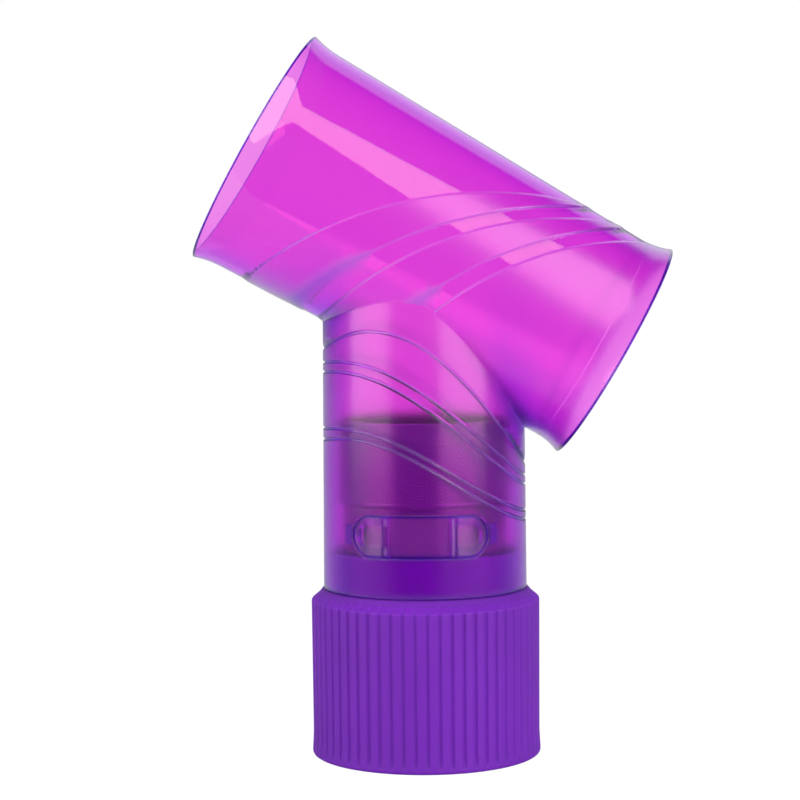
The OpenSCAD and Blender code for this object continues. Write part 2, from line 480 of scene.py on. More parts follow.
@dataclass(frozen=True)
class Graph:
    """A node tree, with short ways to add nodes and to join them."""

    tree: bpy.types.NodeTree

    def feed(self, node: bpy.types.Node, inputs: dict[str | int, object]) -> None:
        """Sets inputs of a node to a number or a colour, or links them to a socket.

        Args:
            node: The node.
            inputs: What each input gets, by its name or place.
        """
        for key, value in inputs.items():
            if isinstance(value, Socket):
                self.tree.links.new(value, node.inputs[key])
            else:
                node.inputs[key].default_value = value

    def add(
        self, kind: str, inputs: dict[str | int, object] | None = None, **settings: str
    ) -> bpy.types.Node:
        """Adds a node.

        Args:
            kind: The node's type, without the word that all shader nodes start with.
            inputs: What its inputs get, by name or place.
            settings: The node's own settings, such as its operation.

        Returns:
            The node.
        """
        node = self.tree.nodes.new("ShaderNode" + kind)
        for key, value in settings.items():
            setattr(node, key, value)
        self.feed(node, inputs or {})
        return node

    def math(self, operation: str, *terms: float | Socket) -> Socket:
        """Result of one operation on numbers or sockets."""
        return self.add("Math", dict(enumerate(terms)), operation=operation).outputs[0]

    def span(
        self, value: Socket, source: Sequence[float], target: Sequence[float | Socket], kind: str = "LINEAR"
    ) -> Socket:
        """Maps a value from one span to another and keeps it inside.

        Args:
            value: The value.
            source: Where the span starts and ends.
            target: Where the new span starts and ends.
            kind: How it runs between the ends.

        Returns:
            The mapped value.
        """
        ends = ("From Min", "From Max", "To Min", "To Max")
        inputs = {"Value": value, **dict(zip(ends, (*source, *target)))}
        return self.add("MapRange", inputs, interpolation_type=kind).outputs["Result"]

    def amount(self, name: str) -> Socket:
        """An amount that the mesh carries, such as satin."""
        return self.add("Attribute", attribute_name=name).outputs["Fac"]

    def noise(self, scale: float, detail: float) -> Socket:
        """A noise on object coordinates, with scale cells to the metre and detail octaves."""
        place = self.add("TexCoord").outputs["Object"]
        return self.add("TexNoise", {"Scale": scale, "Detail": detail, "Vector": place}).outputs["Fac"]

    def blend(self, kind: str, share: float | Socket, under: object, over: object) -> Socket:
        """Mixes two colours, each a socket or red, green, blue and alpha.

        Args:
            kind: How the upper colour works on the lower one.
            share: How much of it is laid on.
            under: The lower colour.
            over: The upper colour.

        Returns:
            The colour socket.
        """
        mix = self.add("Mix", data_type="RGBA", blend_type=kind)
        self.feed(mix, {"Factor": share, "A": under, "B": over})
        return mix.outputs["Result"]

    def ramp(self, value: Socket, stops: Sequence[tuple[float, Sequence[float]]]) -> Socket:
        """Colour for a value.

        Args:
            value: The value, from 0 to 1.
            stops: Two or more places in order, each with its colour.

        Returns:
            The colour socket.
        """
        node = self.add("ValToRGB", {"Fac": value})
        elements = node.color_ramp.elements
        for element, (place, color) in zip((elements[0], elements[1]), (stops[0], stops[-1])):
            element.position, element.color = place, (*color, 1)
        for place, color in stops[1:-1]:
            elements.new(place).color = (*color, 1)
        return node.outputs["Color"]

    def bump(self, strength: float, distance: float, height: Socket) -> Socket:
        """Normal of a fine grain, with its height in millimetres."""
        inputs = {"Strength": strength, "Distance": distance * MM, "Height": height}
        return self.add("Bump", inputs).outputs["Normal"]


def new_material(name: str) -> tuple[bpy.types.Material, Graph, bpy.types.Node]:
    """Makes a node material.

    Args:
        name: Name of the material.

    Returns:
        The material, its graph and its main shader.
    """
    mat = bpy.data.materials.new(name)
    mat.use_nodes = True
    return mat, Graph(mat.node_tree), mat.node_tree.nodes["Principled BSDF"]


class Finish(Enum):
    """The object's finishes."""

    CLEAR_BODY = "clear_body"
    CLEAR_PLATE = "clear_plate"
    TAB = "tab"
    GUIDE = "guide"
    SILICONE = "silicone"


@dataclass(frozen=True)
class Tint:
    """A clear plastic: its tint face on and edge on, the colour of its painted shade, and its gloss.

    Polished skin mirrors sharply. Satin skin mirrors in a soft coat instead, and clouds
    what is seen through it only a little. Frost is the share that scatters light.
    """

    name: str
    color: tuple[float, float, float]
    absorb: tuple[float, float, float]
    edge: tuple[float, float, float] = (0.34, 0.12, 0.92)
    # colour of the painted shade at rims, grooves, step edges and the crease
    painted_shade: tuple[float, float, float] = (0.12, 0.05, 0.8)
    density: float = 600.0
    index: float = 1.56
    polished: float = 0.02
    haze: float = 0.2
    full_satin: float = 0.15
    coat_rough: float = 0.26
    coat_index: float = 1.5
    grain_scale: float = 900.0
    grain: float = 0.02
    grain_strength: float = 0.2
    spread: float = 0.02
    gloss: tuple[float, float, float] = (0.6, 0.68, 0.28)
    edge_shares: tuple[tuple[float, float], ...] = (
        (0.15, 0.0), (0.3, 0.02), (0.45, 0.08), (0.6, 0.25), (0.75, 0.52), (1.0, 1.0)
    )

    def make(self) -> bpy.types.Material:
        """Builds the material: refraction with depth tint, satin where the mesh says so.

        Returns:
            The material.
        """
        mat, graph, shader = new_material(self.name)
        satin = graph.amount("satin")
        covered = graph.span(satin, (0, self.full_satin), (0, 1))
        noise = graph.noise(self.grain_scale, 3.0)
        rough = graph.span(covered, (0, 1), (self.polished, self.haze))
        graph.feed(shader, {
            "Base Color": self.tint(graph),
            "Transmission Weight": graph.math("SUBTRACT", 1.0, graph.amount("frost")),
            "IOR": self.index,
            "Roughness": graph.math("MULTIPLY_ADD", noise, self.spread, rough),
            "Specular Tint": graph.blend("MIX", covered, (*self.gloss, 1), (0, 0, 0, 1)),
            "Coat Weight": satin,
            "Coat Roughness": self.coat_rough,
            "Coat IOR": self.coat_index,
            "Normal": graph.bump(self.grain_strength, self.grain, graph.math("MULTIPLY", noise, covered)),
        })
        depth = graph.add("VolumeAbsorption", {"Color": (*self.absorb, 1), "Density": self.density})
        graph.feed(mat.node_tree.nodes["Material Output"], {"Volume": depth.outputs["Volume"]})
        return mat

    def tint(self, graph: Graph) -> Socket:
        """Colours the glass: bluer where it is looked along, and painted shade where the mesh says so.

        Args:
            graph: The material's graph.

        Returns:
            The colour socket.
        """
        facing = graph.add("LayerWeight", {"Blend": 0.5}).outputs["Facing"]
        pairs = list(zip(self.color, self.edge))
        stops = [(place, [c + (e - c) * share for c, e in pairs]) for place, share in self.edge_shares]
        # painted shade: where the mesh marks it, the colour turns to the darker shade colour
        return graph.blend("MIX", graph.amount("painted_shade"), graph.ramp(facing, stops), (*self.painted_shade, 1))


@dataclass(frozen=True)
class Moulded:
    """An opaque moulding: colour, gloss, and the fine grain of its surface.

    Shade lists heights with what each multiplies the colour by, as painted shade or light;
    bore is what the inside of a tube keeps of its colour and mirror, as painted shade.
    """

    name: str
    color: tuple[float, float, float]
    rough: float
    grain_scale: float
    grain: float
    tone: float
    specular: float = 0.5
    shade: tuple[tuple[float, float], ...] = ()
    bore: float = 1.0
    drift_scale: float = 35.0
    spread: float = 0.05
    grain_strength: float = 0.4

    def make(self) -> bpy.types.Material:
        """Builds the material: slow tone drift, fine grain in gloss and height.

        Returns:
            The material.
        """
        mat, graph, shader = new_material(self.name)
        low, high = ([min(1.0, c * (1 + t)) for c in self.color] for t in (-self.tone, self.tone))
        color = graph.ramp(graph.noise(self.drift_scale, 2.0), ((0.3, low), (0.7, high)))
        mirror = self.specular
        # painted shade inside a tube: a darker, bluer colour and a dimmer mirror where the mesh marks it
        if self.bore < 1:
            inside = graph.amount("painted_shade")
            color = graph.blend("MULTIPLY", inside, color, (self.bore, self.bore, 3 * self.bore, 1))
            mirror = graph.span(inside, (0, 1), (self.specular, self.specular * self.bore))
        if self.shade:
            color = self.shaded(graph, color)
        fine = graph.noise(self.grain_scale, 4.0)
        graph.feed(shader, {
            "Base Color": color,
            "Specular IOR Level": mirror,
            "Roughness": graph.span(fine, (0, 1), (self.rough - self.spread, self.rough + self.spread)),
            "Normal": graph.bump(self.grain_strength, self.grain, fine),
        })
        return mat

    def shaded(self, graph: Graph, color: Socket) -> Socket:
        """Paints shade or light into the colour at given heights, as in a corner or on a brow.

        Args:
            graph: The material's graph.
            color: The colour to shade.

        Returns:
            The colour socket.
        """
        low, high = self.shade[0][0], self.shade[-1][0]
        place = graph.add("SeparateXYZ", {0: graph.add("TexCoord").outputs["Object"]})
        height = graph.span(place.outputs["Z"], (low * MM, high * MM), (0, 1))
        stops = [((z - low) / (high - low), [amount] * 3) for z, amount in self.shade]
        return graph.blend("MULTIPLY", 1.0, color, graph.ramp(height, stops))


FINISHES: dict[Finish, Tint | Moulded] = {
    Finish.CLEAR_BODY: Tint("clear_magenta", (1.0, 0.8, 0.87), absorb=(0.89, 0.0, 0.97)),
    Finish.CLEAR_PLATE: Tint("clear_violet", (0.97, 0.36, 0.9), absorb=(0.84, 0.0, 0.965)),
    Finish.TAB: Moulded("thick_violet", (0.09, 0.03, 0.42), 0.3, 900.0, 0.02, 0.03),
    Finish.GUIDE: Moulded(
        "plum_moulding", (0.105, 0.011, 0.25), 0.22, 700.0, 0.03, 0.05, specular=1.0, bore=0.12
    ),
    Finish.SILICONE: Moulded(
        "violet_silicone", (0.17, 0.014, 0.45), 0.62, 1500.0, 0.04, 0.05, specular=0.22,
        # painted light on the shoulder below its crease, painted shade in the gap under the neck's foot,
        # and a lighter spigot above
        shade=(
            (49.0, 1.0), (49.5, 1.15), (51.2, 1.2), (51.6, 1.0),
            (52.8, 1.0), (53.1, 0.7), (53.5, 0.7), (53.6, 1.12),
        ),
    ),
}


# ----------------------------------------------------------------------------- pieces


@dataclass
class Arc:
    """A swirl edge: an arc in the barrel's side view, and how its lower end softens.

    Soft is half the width of its step, which grows by the fade below the tip.
    """

    s: float
    q: float
    r: float
    tip_q: float | None = None
    soft: float = 0.3
    fade: Ease = Ease(0.0, -9.0, 3.5)

    def inside(self, s: Array, q: Array, extra: Array) -> Array:
        """Eases from 0 outside the arc to 1 inside it, more gently below its tip.

        Args:
            s: Distance along the axis.
            q: Height across the axis.
            extra: Distance added to the easing on both sides.

        Returns:
            The amount.
        """
        depth = self.r - np.hypot(s - self.s, q - self.q)
        half = self.soft + extra
        if self.tip_q is not None:
            half = half + self.fade(q, self.tip_q)
        return smooth(-half, half, depth)

    def line(self, q_low: float, q_high: float, offset: float, pitch: float) -> Array:
        """Side-view points along the arc, moved inwards by an offset.

        Args:
            q_low: Height across the axis where the line starts.
            q_high: Height where it ends.
            offset: Distance towards the arc's centre.
            pitch: Spacing of the points.

        Returns:
            Points (s, q), shape (k, 2).
        """
        r = self.r - offset
        start, end = (math.asin(np.clip((q - self.q) / r, -1, 1)) for q in (q_low, q_high))
        t = np.linspace(start, end, max(2, int(r * abs(end - start) / pitch)))
        return np.stack([self.s - r * np.cos(t), self.q + r * np.sin(t)], axis=1)


@dataclass(frozen=True)
class Groove:
    """A neck groove: how far its middle lies below the barrel's axis, and its shape.

    With w for the side position over the neck's radius, it falls by fall times w and by
    bow times w squared, and rises by hook times w cubed.
    """

    drop: float
    fall: float
    bow: float
    hook: float


@dataclass
class Body:
    """The barrel and neck: one clear moulding with swirl bands and neck grooves."""

    size: BodySizes = field(default_factory=BodySizes)
    plate: PlateSizes = field(default_factory=PlateSizes)
    columns: int = 144
    crease_count: int = 240
    crease_bounds: tuple[float, float] = (85.0, 158.0)
    halvings: int = 40
    barrel_pitches: tuple[float, float] = (1.8, 2.4)
    neck_pitches: tuple[float, float] = (2.0, 2.6)
    groove_rows: tuple[float, ...] = (-0.8, -0.54, -0.41, -0.28, 0.0, 0.28, 0.41, 0.54, 0.8)
    band_rows: tuple[float, ...] = (-0.7, -0.32, -0.12, 0.12, 0.32, 0.7)
    ring_rows: tuple[float, ...] = (-0.4, -0.13, 0.0, 0.13, 0.4)
    tail_rows: tuple[float, ...] = (-0.6, -0.2, 0.2, 0.6)
    window_rows: tuple[float, ...] = (0.12, 0.25, 0.4, 0.6)
    band_reach: tuple[float, float] = (-38.0, 36.0)
    row_pitch: float = 0.9
    bend_q: tuple[float, float, float] = (29.2, 36.0, 0.35)
    tail_run_s: tuple[float, float, float] = (-44.0, -22.8, 0.5)
    tail_end_q: tuple[float, float, float] = (-36.0, -25.5, 0.5)
    outline_s: tuple[float, float] = (-50.0, 66.0)
    outline_degrees: tuple[float, float, float] = (-9.0, 9.1, 0.9)
    # rims, foot, window edge and the edges of steps, grooves, lip and foot line carry painted shade
    rim_look: Amounts = Amounts(0.1, 0.9, 0.45)
    foot_look: Amounts = Amounts(0.2, 0.85, 0.2)
    window_look: Amounts = Amounts(0.16, 0.9, 0.2)
    bore_look: Amounts = Amounts(satin=0.12)
    step_adds: Amounts = Amounts(painted_shade=2.0, frost=0.7)
    groove_adds: Amounts = Amounts(painted_shade=0.55, frost=0.15)
    lip_adds: Amounts = Amounts(0.15, 0.3, 0.03)
    foot_adds: Amounts = Amounts(painted_shade=0.1, frost=0.04)
    lip_fall: float = 0.15
    shade_ceiling: float = 0.65
    groove_shade_ceiling_rise: float = 0.25
    outline_soft: Ease = Ease(0.2, 0.05, 0.9)
    neck_satin: float = 0.22
    neck_satin_rises: tuple[Ease, Ease] = (Ease(10.0, 30.0, 0.06), Ease(34.0, 60.0, 0.5))
    foot_line: Ease = Ease(0.8, 0.3)
    # painted shade towards the neck's sides, low on the neck and along the crease
    side_shade: Ease = Ease(19.0, 29.0, 0.28)
    seat_shade: Ease = Ease(68.0, 64.0, 0.14)
    crease_sides: tuple[Ease, Ease] = (Ease(16.0, 31.0), Ease(-20.0, -31.0, 0.85))
    crease_shade_share: float = 0.8
    barrel_reach: float = 9.0
    neck_reach: float = 3.0
    band_edges: tuple[Arc, ...] = (
        Arc(75.5, -88.4, 128.8),
        Arc(104.1, -91.4, 141.5, tip_q=-9.0),
        Arc(90.6, -69.3, 111.8),
        Arc(109.9, -61.7, 111.7, tip_q=-7.7),
        Arc(105.7, -54.7, 99.5),
    )
    neck_grooves: tuple[Groove, ...] = (
        Groove(33.1, 21.3, 19.1, 2.8),
        Groove(47.1, 22.5, 9.2, 4.2),
        Groove(51.1, 23.0, 8.1, 4.8),
        Groove(66.4, 18.1, 5.8, 4.7),
        Groove(69.1, 18.7, 6.3, 5.7),
    )

    def __post_init__(self) -> None:
        """Works out the barrel's axis, its side view's unit vectors and the window's radius."""
        t = math.radians(self.size.tilt)
        self.centre = np.array([0.0, 0.0, self.size.axis_z])
        self.along = np.array([math.cos(t), 0.0, -math.sin(t)])
        self.across = np.array([math.sin(t), 0.0, math.cos(t)])
        self.window_r = self.neck_radius(self.plate.middle_z) - self.size.window_edge

    # -- the barrel as a surface of two parameters

    def profile(self, s: Array) -> Array:
        """Radius of the plain barrel: a straight taper plus a parabola at each flared mouth.

        Args:
            s: Distance along the axis.

        Returns:
            The radius.
        """
        k = self.size
        wide = np.maximum(0.0, (k.wide + k.wide_flare_len) - s) / k.wide_flare_len
        slim = np.maximum(0.0, s - (k.narrow - k.narrow_flare_len)) / k.narrow_flare_len
        return k.radius - k.taper * s + k.wide_flare * wide**2 + k.narrow_flare * slim**2

    def raised(self, s: Array, turn: Array) -> Array:
        """Amount from 0 to 1 by which the swirl bands stand up.

        On the front it is what lies inside the first edge and outside the second, inside
        the third and outside the fourth, or inside the fifth. On the back only the narrow
        mouth's ring, which bends away at the top, and the tails of the bands stand up. Their
        edges ease more gently next to the outline.

        Args:
            s: Distance along the axis.
            turn: Angle round the axis, 0 at the front and positive upwards.

        Returns:
            The amount.
        """
        k = self.size
        q = self.profile(s) * np.sin(turn)
        extra = self.outline_soft(np.abs(np.cos(turn)))
        a, b, c, d, e = (edge.inside(s, q, extra) for edge in self.band_edges)
        front = np.clip(a * (1 - b) + c * (1 - d) + e, 0.0, 1.0)
        ring_edge = np.maximum(k.ring_s - k.ring_lean * np.maximum(0, q - k.ring_bend_q), k.ring_least)
        tail_in = (s - k.tail_s) * k.tail_run - (q - k.tail_q) * k.tail_rise
        tail = smooth(-k.tail_soft - extra, k.tail_soft + extra, tail_in)
        tail = tail * smooth(-k.tail_soft, k.tail_soft, k.tail_end - s)
        back = np.clip(smooth(-k.back_soft, k.back_soft, s - ring_edge) + tail, 0.0, 1.0)
        side = smooth(-k.side_soft, k.side_soft, np.cos(turn))
        return front * side + back * (1 - side)

    def outer_r(self, s: Array, turn: Array) -> Array:
        """Outer radius: the plain barrel, the bands, and the mouth's ring a hair above them.

        Args:
            s: Distance along the axis.
            turn: Angle round the axis.

        Returns:
            The radius.
        """
        k = self.size
        ring = (k.ring_h - k.band_h) * smooth(k.ring_s - k.ring_soft, k.ring_s + k.ring_soft, s)
        return self.profile(s) + (k.band_h * self.raised(s, turn) + ring)

    def inner_r(self, s: Array, turn: Array) -> Array:
        """Inner radius: a wall inside the plain barrel."""
        return self.profile(s) - self.size.wall + 0 * turn

    def barrel_point(self, s: Array, turn: Array, r: Array) -> Array:
        """Points on the barrel: the axis, plus radius times sine across and cosine in front.

        Args:
            s: Distance along the axis.
            turn: Angle round it.
            r: Radius.

        Returns:
            Points, shape (n, 3).
        """
        side = (r * np.sin(turn))[:, None] * self.across
        front = (r * np.cos(turn))[:, None] * np.array([0.0, 1.0, 0.0])
        return self.centre + s[:, None] * self.along + side - front

    def barrel_outer(self, u: Array, v: Array) -> Array:
        """Outer skin for map columns u, arc length round the axis, and v, along it."""
        turn = u / self.size.radius
        return self.barrel_point(v, turn, self.outer_r(v, turn))

    def barrel_inner(self, u: Array, v: Array) -> Array:
        """Inner skin of the barrel in the same map."""
        turn = u / self.size.radius
        return self.barrel_point(v, turn, self.inner_r(v, turn))

    def barrel_look(self, u: Array, v: Array) -> tuple[Array, Array, Array]:
        """Satin on the raised bands, polish elsewhere, and painted shade along their edges.

        An edge is the raised amount times what is left of it, most half way up the step.

        Args:
            u: Arc length round the axis.
            v: Distance along it.

        Returns:
            Satin, painted shade and frost.
        """
        amount = self.raised(v, u / self.size.radius)
        # painted shade along the band edges and near the crease
        edge, adds = amount * (1 - amount), self.step_adds
        shade = self.crease_shade(self.barrel_outer(u, v), self.barrel_reach)
        return amount, adds.painted_shade * edge + shade, adds.frost * edge

    def neck_look(self, u: Array, v: Array) -> tuple[Array, Array, Array]:
        """Satin that wears off towards the foot, painted shade and a little frost in the grooves.

        Satin rises in two eases up the neck and is gone in the grooves. Painted shade is the sum
        of the grooves, both sides, the crease, the seat of the tube below, the window's lip
        and the foot, with a ceiling. Frost lies in the grooves, on the lip and on the foot.

        Args:
            u: Arc length round the neck.
            v: Height.

        Returns:
            Satin, painted shade and frost.
        """
        k = self.size
        satin = self.neck_satin
        for rise in self.neck_satin_rises:
            satin = satin + rise(v, k.neck_low)
        foot = self.foot_line(v - k.neck_low)
        points = self.neck_outer(u, v)
        cut = np.clip((self.neck_radius(v) - np.hypot(points[:, 0], points[:, 1])) / k.groove_d, 0, 1)
        lip = np.clip(self.window_round(u / k.neck_r, v) / self.lip_fall, 0, 1)
        groove, rim, line = self.groove_adds, self.lip_adds, self.foot_adds
        sides = self.side_shade(np.abs(points[:, 0]))
        # painted shade from grooves, sides, crease, the seat below, the window's lip and the foot line,
        # capped
        painted_shade = groove.painted_shade * cut + sides + self.crease_shade(points, self.neck_reach) + self.seat_shade(v)
        painted_shade = painted_shade + rim.painted_shade * lip + line.painted_shade * foot
        painted_shade = np.minimum(painted_shade, self.shade_ceiling + self.groove_shade_ceiling_rise * cut)
        frost = groove.frost * cut + rim.frost * lip + line.frost * foot
        return satin * (1 - cut) + rim.satin * lip, painted_shade, frost

    def crease_shade(self, points: Array, reach: float) -> Array:
        """Painted shade near the crease, where wall stands behind wall: most at its two sides.

        It falls off as the exponential of minus the distance over the reach.

        Args:
            points: Places on the skin.
            reach: Distance over which it fades.

        Returns:
            The amount, from 0 to 1.
        """
        away = np.full(len(points), np.inf)
        for part in np.array_split(self.seam, 12):
            gap = points[:, None, :] - part[None]
            away = np.minimum(away, np.min(np.einsum("nkd,nkd->nk", gap, gap), axis=1))
        right, left = (side(points[:, 0]) for side in self.crease_sides)
        return np.exp(-np.sqrt(away) / reach) * (right + left) * self.crease_shade_share

    # -- the neck as a surface of two parameters

    def neck_radius(self, z: Array | float) -> Array | float:
        """Outer radius of the neck: a slight draft from its foot to the barrel's axis."""
        k = self.size
        return k.neck_r - k.neck_draft * (z - k.neck_low) / k.neck_rise

    def groove_z(self, groove: Groove, x: Array) -> Array:
        """Height of a groove at a side position x."""
        w = x / self.size.neck_r
        return self.size.axis_z - groove.drop - groove.fall * w - groove.bow * w**2 + groove.hook * w**3

    def groove_slope(self, groove: Groove, x: Array) -> Array:
        """Slope of a groove's height against x."""
        w = x / self.size.neck_r
        return (-groove.fall - 2 * groove.bow * w + 3 * groove.hook * w**2) / self.size.neck_r

    def neck_outer(self, u: Array, v: Array) -> Array:
        """Outer skin of the neck.

        Each groove takes away a bell-shaped depth, by the distance from its middle line.

        Args:
            u: Arc length round the neck.
            v: Height.

        Returns:
            Points, shape (n, 3).
        """
        k = self.size
        turn = u / k.neck_r
        base = self.neck_radius(v)
        x = base * np.sin(turn)
        cut = np.zeros_like(v)
        for g in self.neck_grooves:
            lean = np.abs(self.groove_slope(g, x) * np.cos(turn))
            away = (v - self.groove_z(g, x)) / np.sqrt(1 + lean**2)
            bell = 1 - smooth(k.groove_floor * k.groove_w, k.groove_brow * k.groove_w, np.abs(away))
            cut = np.maximum(cut, bell)
        return round_axis(turn, base - k.groove_d * cut - self.window_round(turn, v), v)

    def window_round(self, turn: Array, z: Array) -> Array:
        """How far the skin falls away at the window's edge: a parabola over a short way.

        Args:
            turn: Angle round the neck.
            z: Height.

        Returns:
            The fall.
        """
        k, p = self.size, self.plate
        out = -p.inset(k.neck_r * np.sin(turn - math.radians(p.turn)), z - p.middle_z) - p.gap
        fall = k.window_edge * (1 - np.clip(out / k.window_edge_w, 0, 1)) ** 2
        return np.where(np.cos(turn) > 0, fall, 0.0)

    def neck_inner(self, u: Array, v: Array) -> Array:
        """Bore of the neck in the same map."""
        return round_axis(u / self.size.neck_r, self.size.bore_r, v)

    # -- shared loops

    def crease(self, neck: Surface, barrel_r: Surface) -> tuple[Array, Array, Array]:
        """Where the neck meets the barrel, by halving the height between two bounds.

        Args:
            neck: The neck's skin.
            barrel_r: The barrel's radius at s and angle.

        Returns:
            Points, their neck map and their barrel map.
        """
        turn = np.arange(self.crease_count) / self.crease_count * 2 * np.pi - np.pi
        u = turn * self.size.neck_r
        low, high = (np.full_like(u, z) for z in self.crease_bounds)
        for _ in range(self.halvings):
            mid = (low + high) / 2
            s, around, r = self.barrel_place(neck(u, mid))
            inside = r < barrel_r(s, around)
            low, high = np.where(inside, low, mid), np.where(inside, mid, high)
        points = neck(u, low)
        s, around, _ = self.barrel_place(points)
        return points, np.stack([u, low], 1), np.stack([around * self.size.radius, s], 1)

    def barrel_place(self, points: Array) -> tuple[Array, Array, Array]:
        """Where points are, as seen by the barrel.

        Args:
            points: Points, shape (n, 3).

        Returns:
            Distance along the axis, angle round it and radius.
        """
        rel = points - self.centre
        s, q, y = rel @ self.along, rel @ self.across, rel[:, 1]
        return s, np.arctan2(q, -y), np.hypot(q, y)

    def window(self, r: float, grow: float) -> tuple[Array, Array]:
        """The plate's stadium outline laid on the neck at a radius.

        Args:
            r: Radius of the skin.
            grow: Distance by which the outline is larger than the plate.

        Returns:
            The outline's points and its map on the neck.
        """
        flat = stadium(self.plate, grow)
        turn = np.arcsin(flat[:, 0] / r) + math.radians(self.plate.turn)
        z = flat[:, 1] + self.plate.middle_z
        return round_axis(turn, r, z), np.stack([turn * self.size.neck_r, z], 1)

    # -- patches

    def border_columns(self) -> Array:
        """Map positions of the columns that all round borders share."""
        half = math.pi * self.size.radius
        return np.linspace(-half, half, self.columns + 1)

    def barrel_sheet(self, hole: Array, pitch: float, bands: bool) -> tuple[Array, Array]:
        """Triangulates the barrel's map round the neck's hole.

        Args:
            hole: The hole's loop in the map.
            pitch: Spacing of the fill.
            bands: Whether triangles follow the swirl edges.

        Returns:
            Map points and triangles.
        """
        k, sheet, cols = self.size, Sheet(), self.border_columns()
        rows = np.linspace(k.wide, k.narrow, int((k.narrow - k.wide) / pitch))
        for s in (k.wide, k.narrow):
            sheet.add_line(np.stack([cols, np.full_like(cols, s)], 1))
        for u in (cols[0], cols[-1]):
            sheet.add_line(np.stack([np.full(len(rows) - 2, u), rows[1:-1]], 1))
        sheet.add_line(hole, closed=True)
        if bands:
            self.follow_bands(sheet, hole)
        fill = lattice(cols[1:-1], rows[1:-1]).reshape(len(rows) - 2, -1, 2)
        fill[1::2, :, 0] += 0.5 * (cols[1] - cols[0])
        fill = fill.reshape(-1, 2)
        fill = fill[np.abs(fill[:, 0]) < cols[-1] - 0.4 * pitch]
        fill = fill[~inside_loop(fill, hole)]
        sheet.add_fill(fill, 0.45 if bands else 0.55 * pitch)
        uv, faces = sheet.triangles()
        return uv, faces[~inside_loop(uv[faces].mean(axis=1), hole)]

    def follow_bands(self, sheet: Sheet, hole: Array) -> None:
        """Adds rows of points along each swirl edge, the ring and the barrel's outlines.

        Args:
            sheet: The barrel's map.
            hole: The neck's hole in it.
        """
        k = self.size
        for edge in self.band_edges:
            for offset in self.band_rows:
                line = edge.line(*self.band_reach, offset, self.row_pitch)
                s, q = line[:, 0], line[:, 1]
                ratio = q / self.profile(s)
                keep = (np.abs(ratio) < 0.995) & (s < k.narrow - 4) & (s > k.wide + 2)
                u = np.arcsin(np.clip(ratio, -1, 1)) * k.radius
                sheet.add_row(clear_of(np.stack([u, s], 1)[keep], hole, 0.35))
        cols = np.arange(1 - self.columns, self.columns) / self.columns * math.pi * k.radius
        for offset in self.ring_rows:
            sheet.add_row(np.stack([cols, np.full_like(cols, k.ring_s + offset)], 1))
        for line in self.back_edges():
            s, q = line[:, 0], line[:, 1]
            turn = math.pi - np.arcsin(np.clip(np.abs(q) / self.profile(s), 0, 1))
            line = np.stack([np.sign(q) * turn * k.radius, s], 1)
            sheet.add_row(line[turn > math.pi / 2 + 0.05])
        for side in (-1, 1):
            turn = np.radians(90.0 + np.arange(*self.outline_degrees)) * side
            outline = lattice(turn * k.radius, np.arange(*self.outline_s, self.row_pitch))
            sheet.add_fill(clear_of(outline, hole, 0.5), 0.4)

    def back_edges(self) -> list[Array]:
        """Finds lines beside the back's raised edges: the ring's bend and the bands' tail.

        Returns:
            Lines in side view (s, q), each of shape (k, 2).
        """
        k, lines = self.size, []
        q, low = np.arange(*self.bend_q), np.arange(*self.tail_end_q)
        for offset in self.tail_rows:
            s = k.ring_s - k.ring_lean * (q - k.ring_bend_q)
            lines.append(np.stack([s + offset, q], 1)[s > k.ring_least + 0.5])
            s = np.arange(*self.tail_run_s)
            edge = (s - k.tail_s) * k.tail_run / k.tail_rise + k.tail_q
            lines.append(np.stack([s, edge + 1.5 * offset], 1))
            lines.append(np.stack([np.full_like(low, k.tail_end + 0.9 * offset), low], 1))
        return lines

    def neck_sheet(
        self, top: Array, hole: Array, low: float, pitch: float, grooves: bool
    ) -> tuple[Array, Array]:
        """Triangulates the neck's map between its foot and the crease, round the window.

        Args:
            top: The crease in the neck's map.
            hole: The window's loop in the map.
            low: Height of the lowest row.
            pitch: Spacing of the fill.
            grooves: Whether triangles follow the grooves.

        Returns:
            Map points and triangles.
        """
        half = math.pi * self.size.neck_r
        sheet = Sheet()
        top = np.concatenate([top, [[half, top[0, 1]]]])
        sheet.add_line(top)
        sheet.add_line(np.stack([top[:, 0], np.full(len(top), low)], 1))
        rows = self.seam_rows(low, top[0, 1], pitch, grooves)
        for u in (-half, half):
            sheet.add_line(np.stack([np.full(len(rows), u), rows], 1))
        sheet.add_line(hole, closed=True)
        if grooves:
            for grow in self.window_rows:
                sheet.add_row(self.window(self.window_r, self.plate.gap + grow)[1])
            self.follow_grooves(sheet, top, hole)
        columns = np.arange(-half + pitch, half - 0.5 * pitch, pitch)
        fill = lattice(columns, np.arange(low + pitch, top[:, 1].max(), pitch))
        fill = fill[fill[:, 1] < np.interp(fill[:, 0], top[:, 0], top[:, 1]) - 0.5 * pitch]
        fill = fill[~inside_loop(fill, hole)]
        sheet.add_fill(fill, 0.45 if grooves else 0.5 * pitch)
        uv, faces = sheet.triangles()
        middle = uv[faces].mean(axis=1)
        under = middle[:, 1] < np.interp(middle[:, 0], top[:, 0], top[:, 1])
        return uv, faces[under & ~inside_loop(middle, hole)]

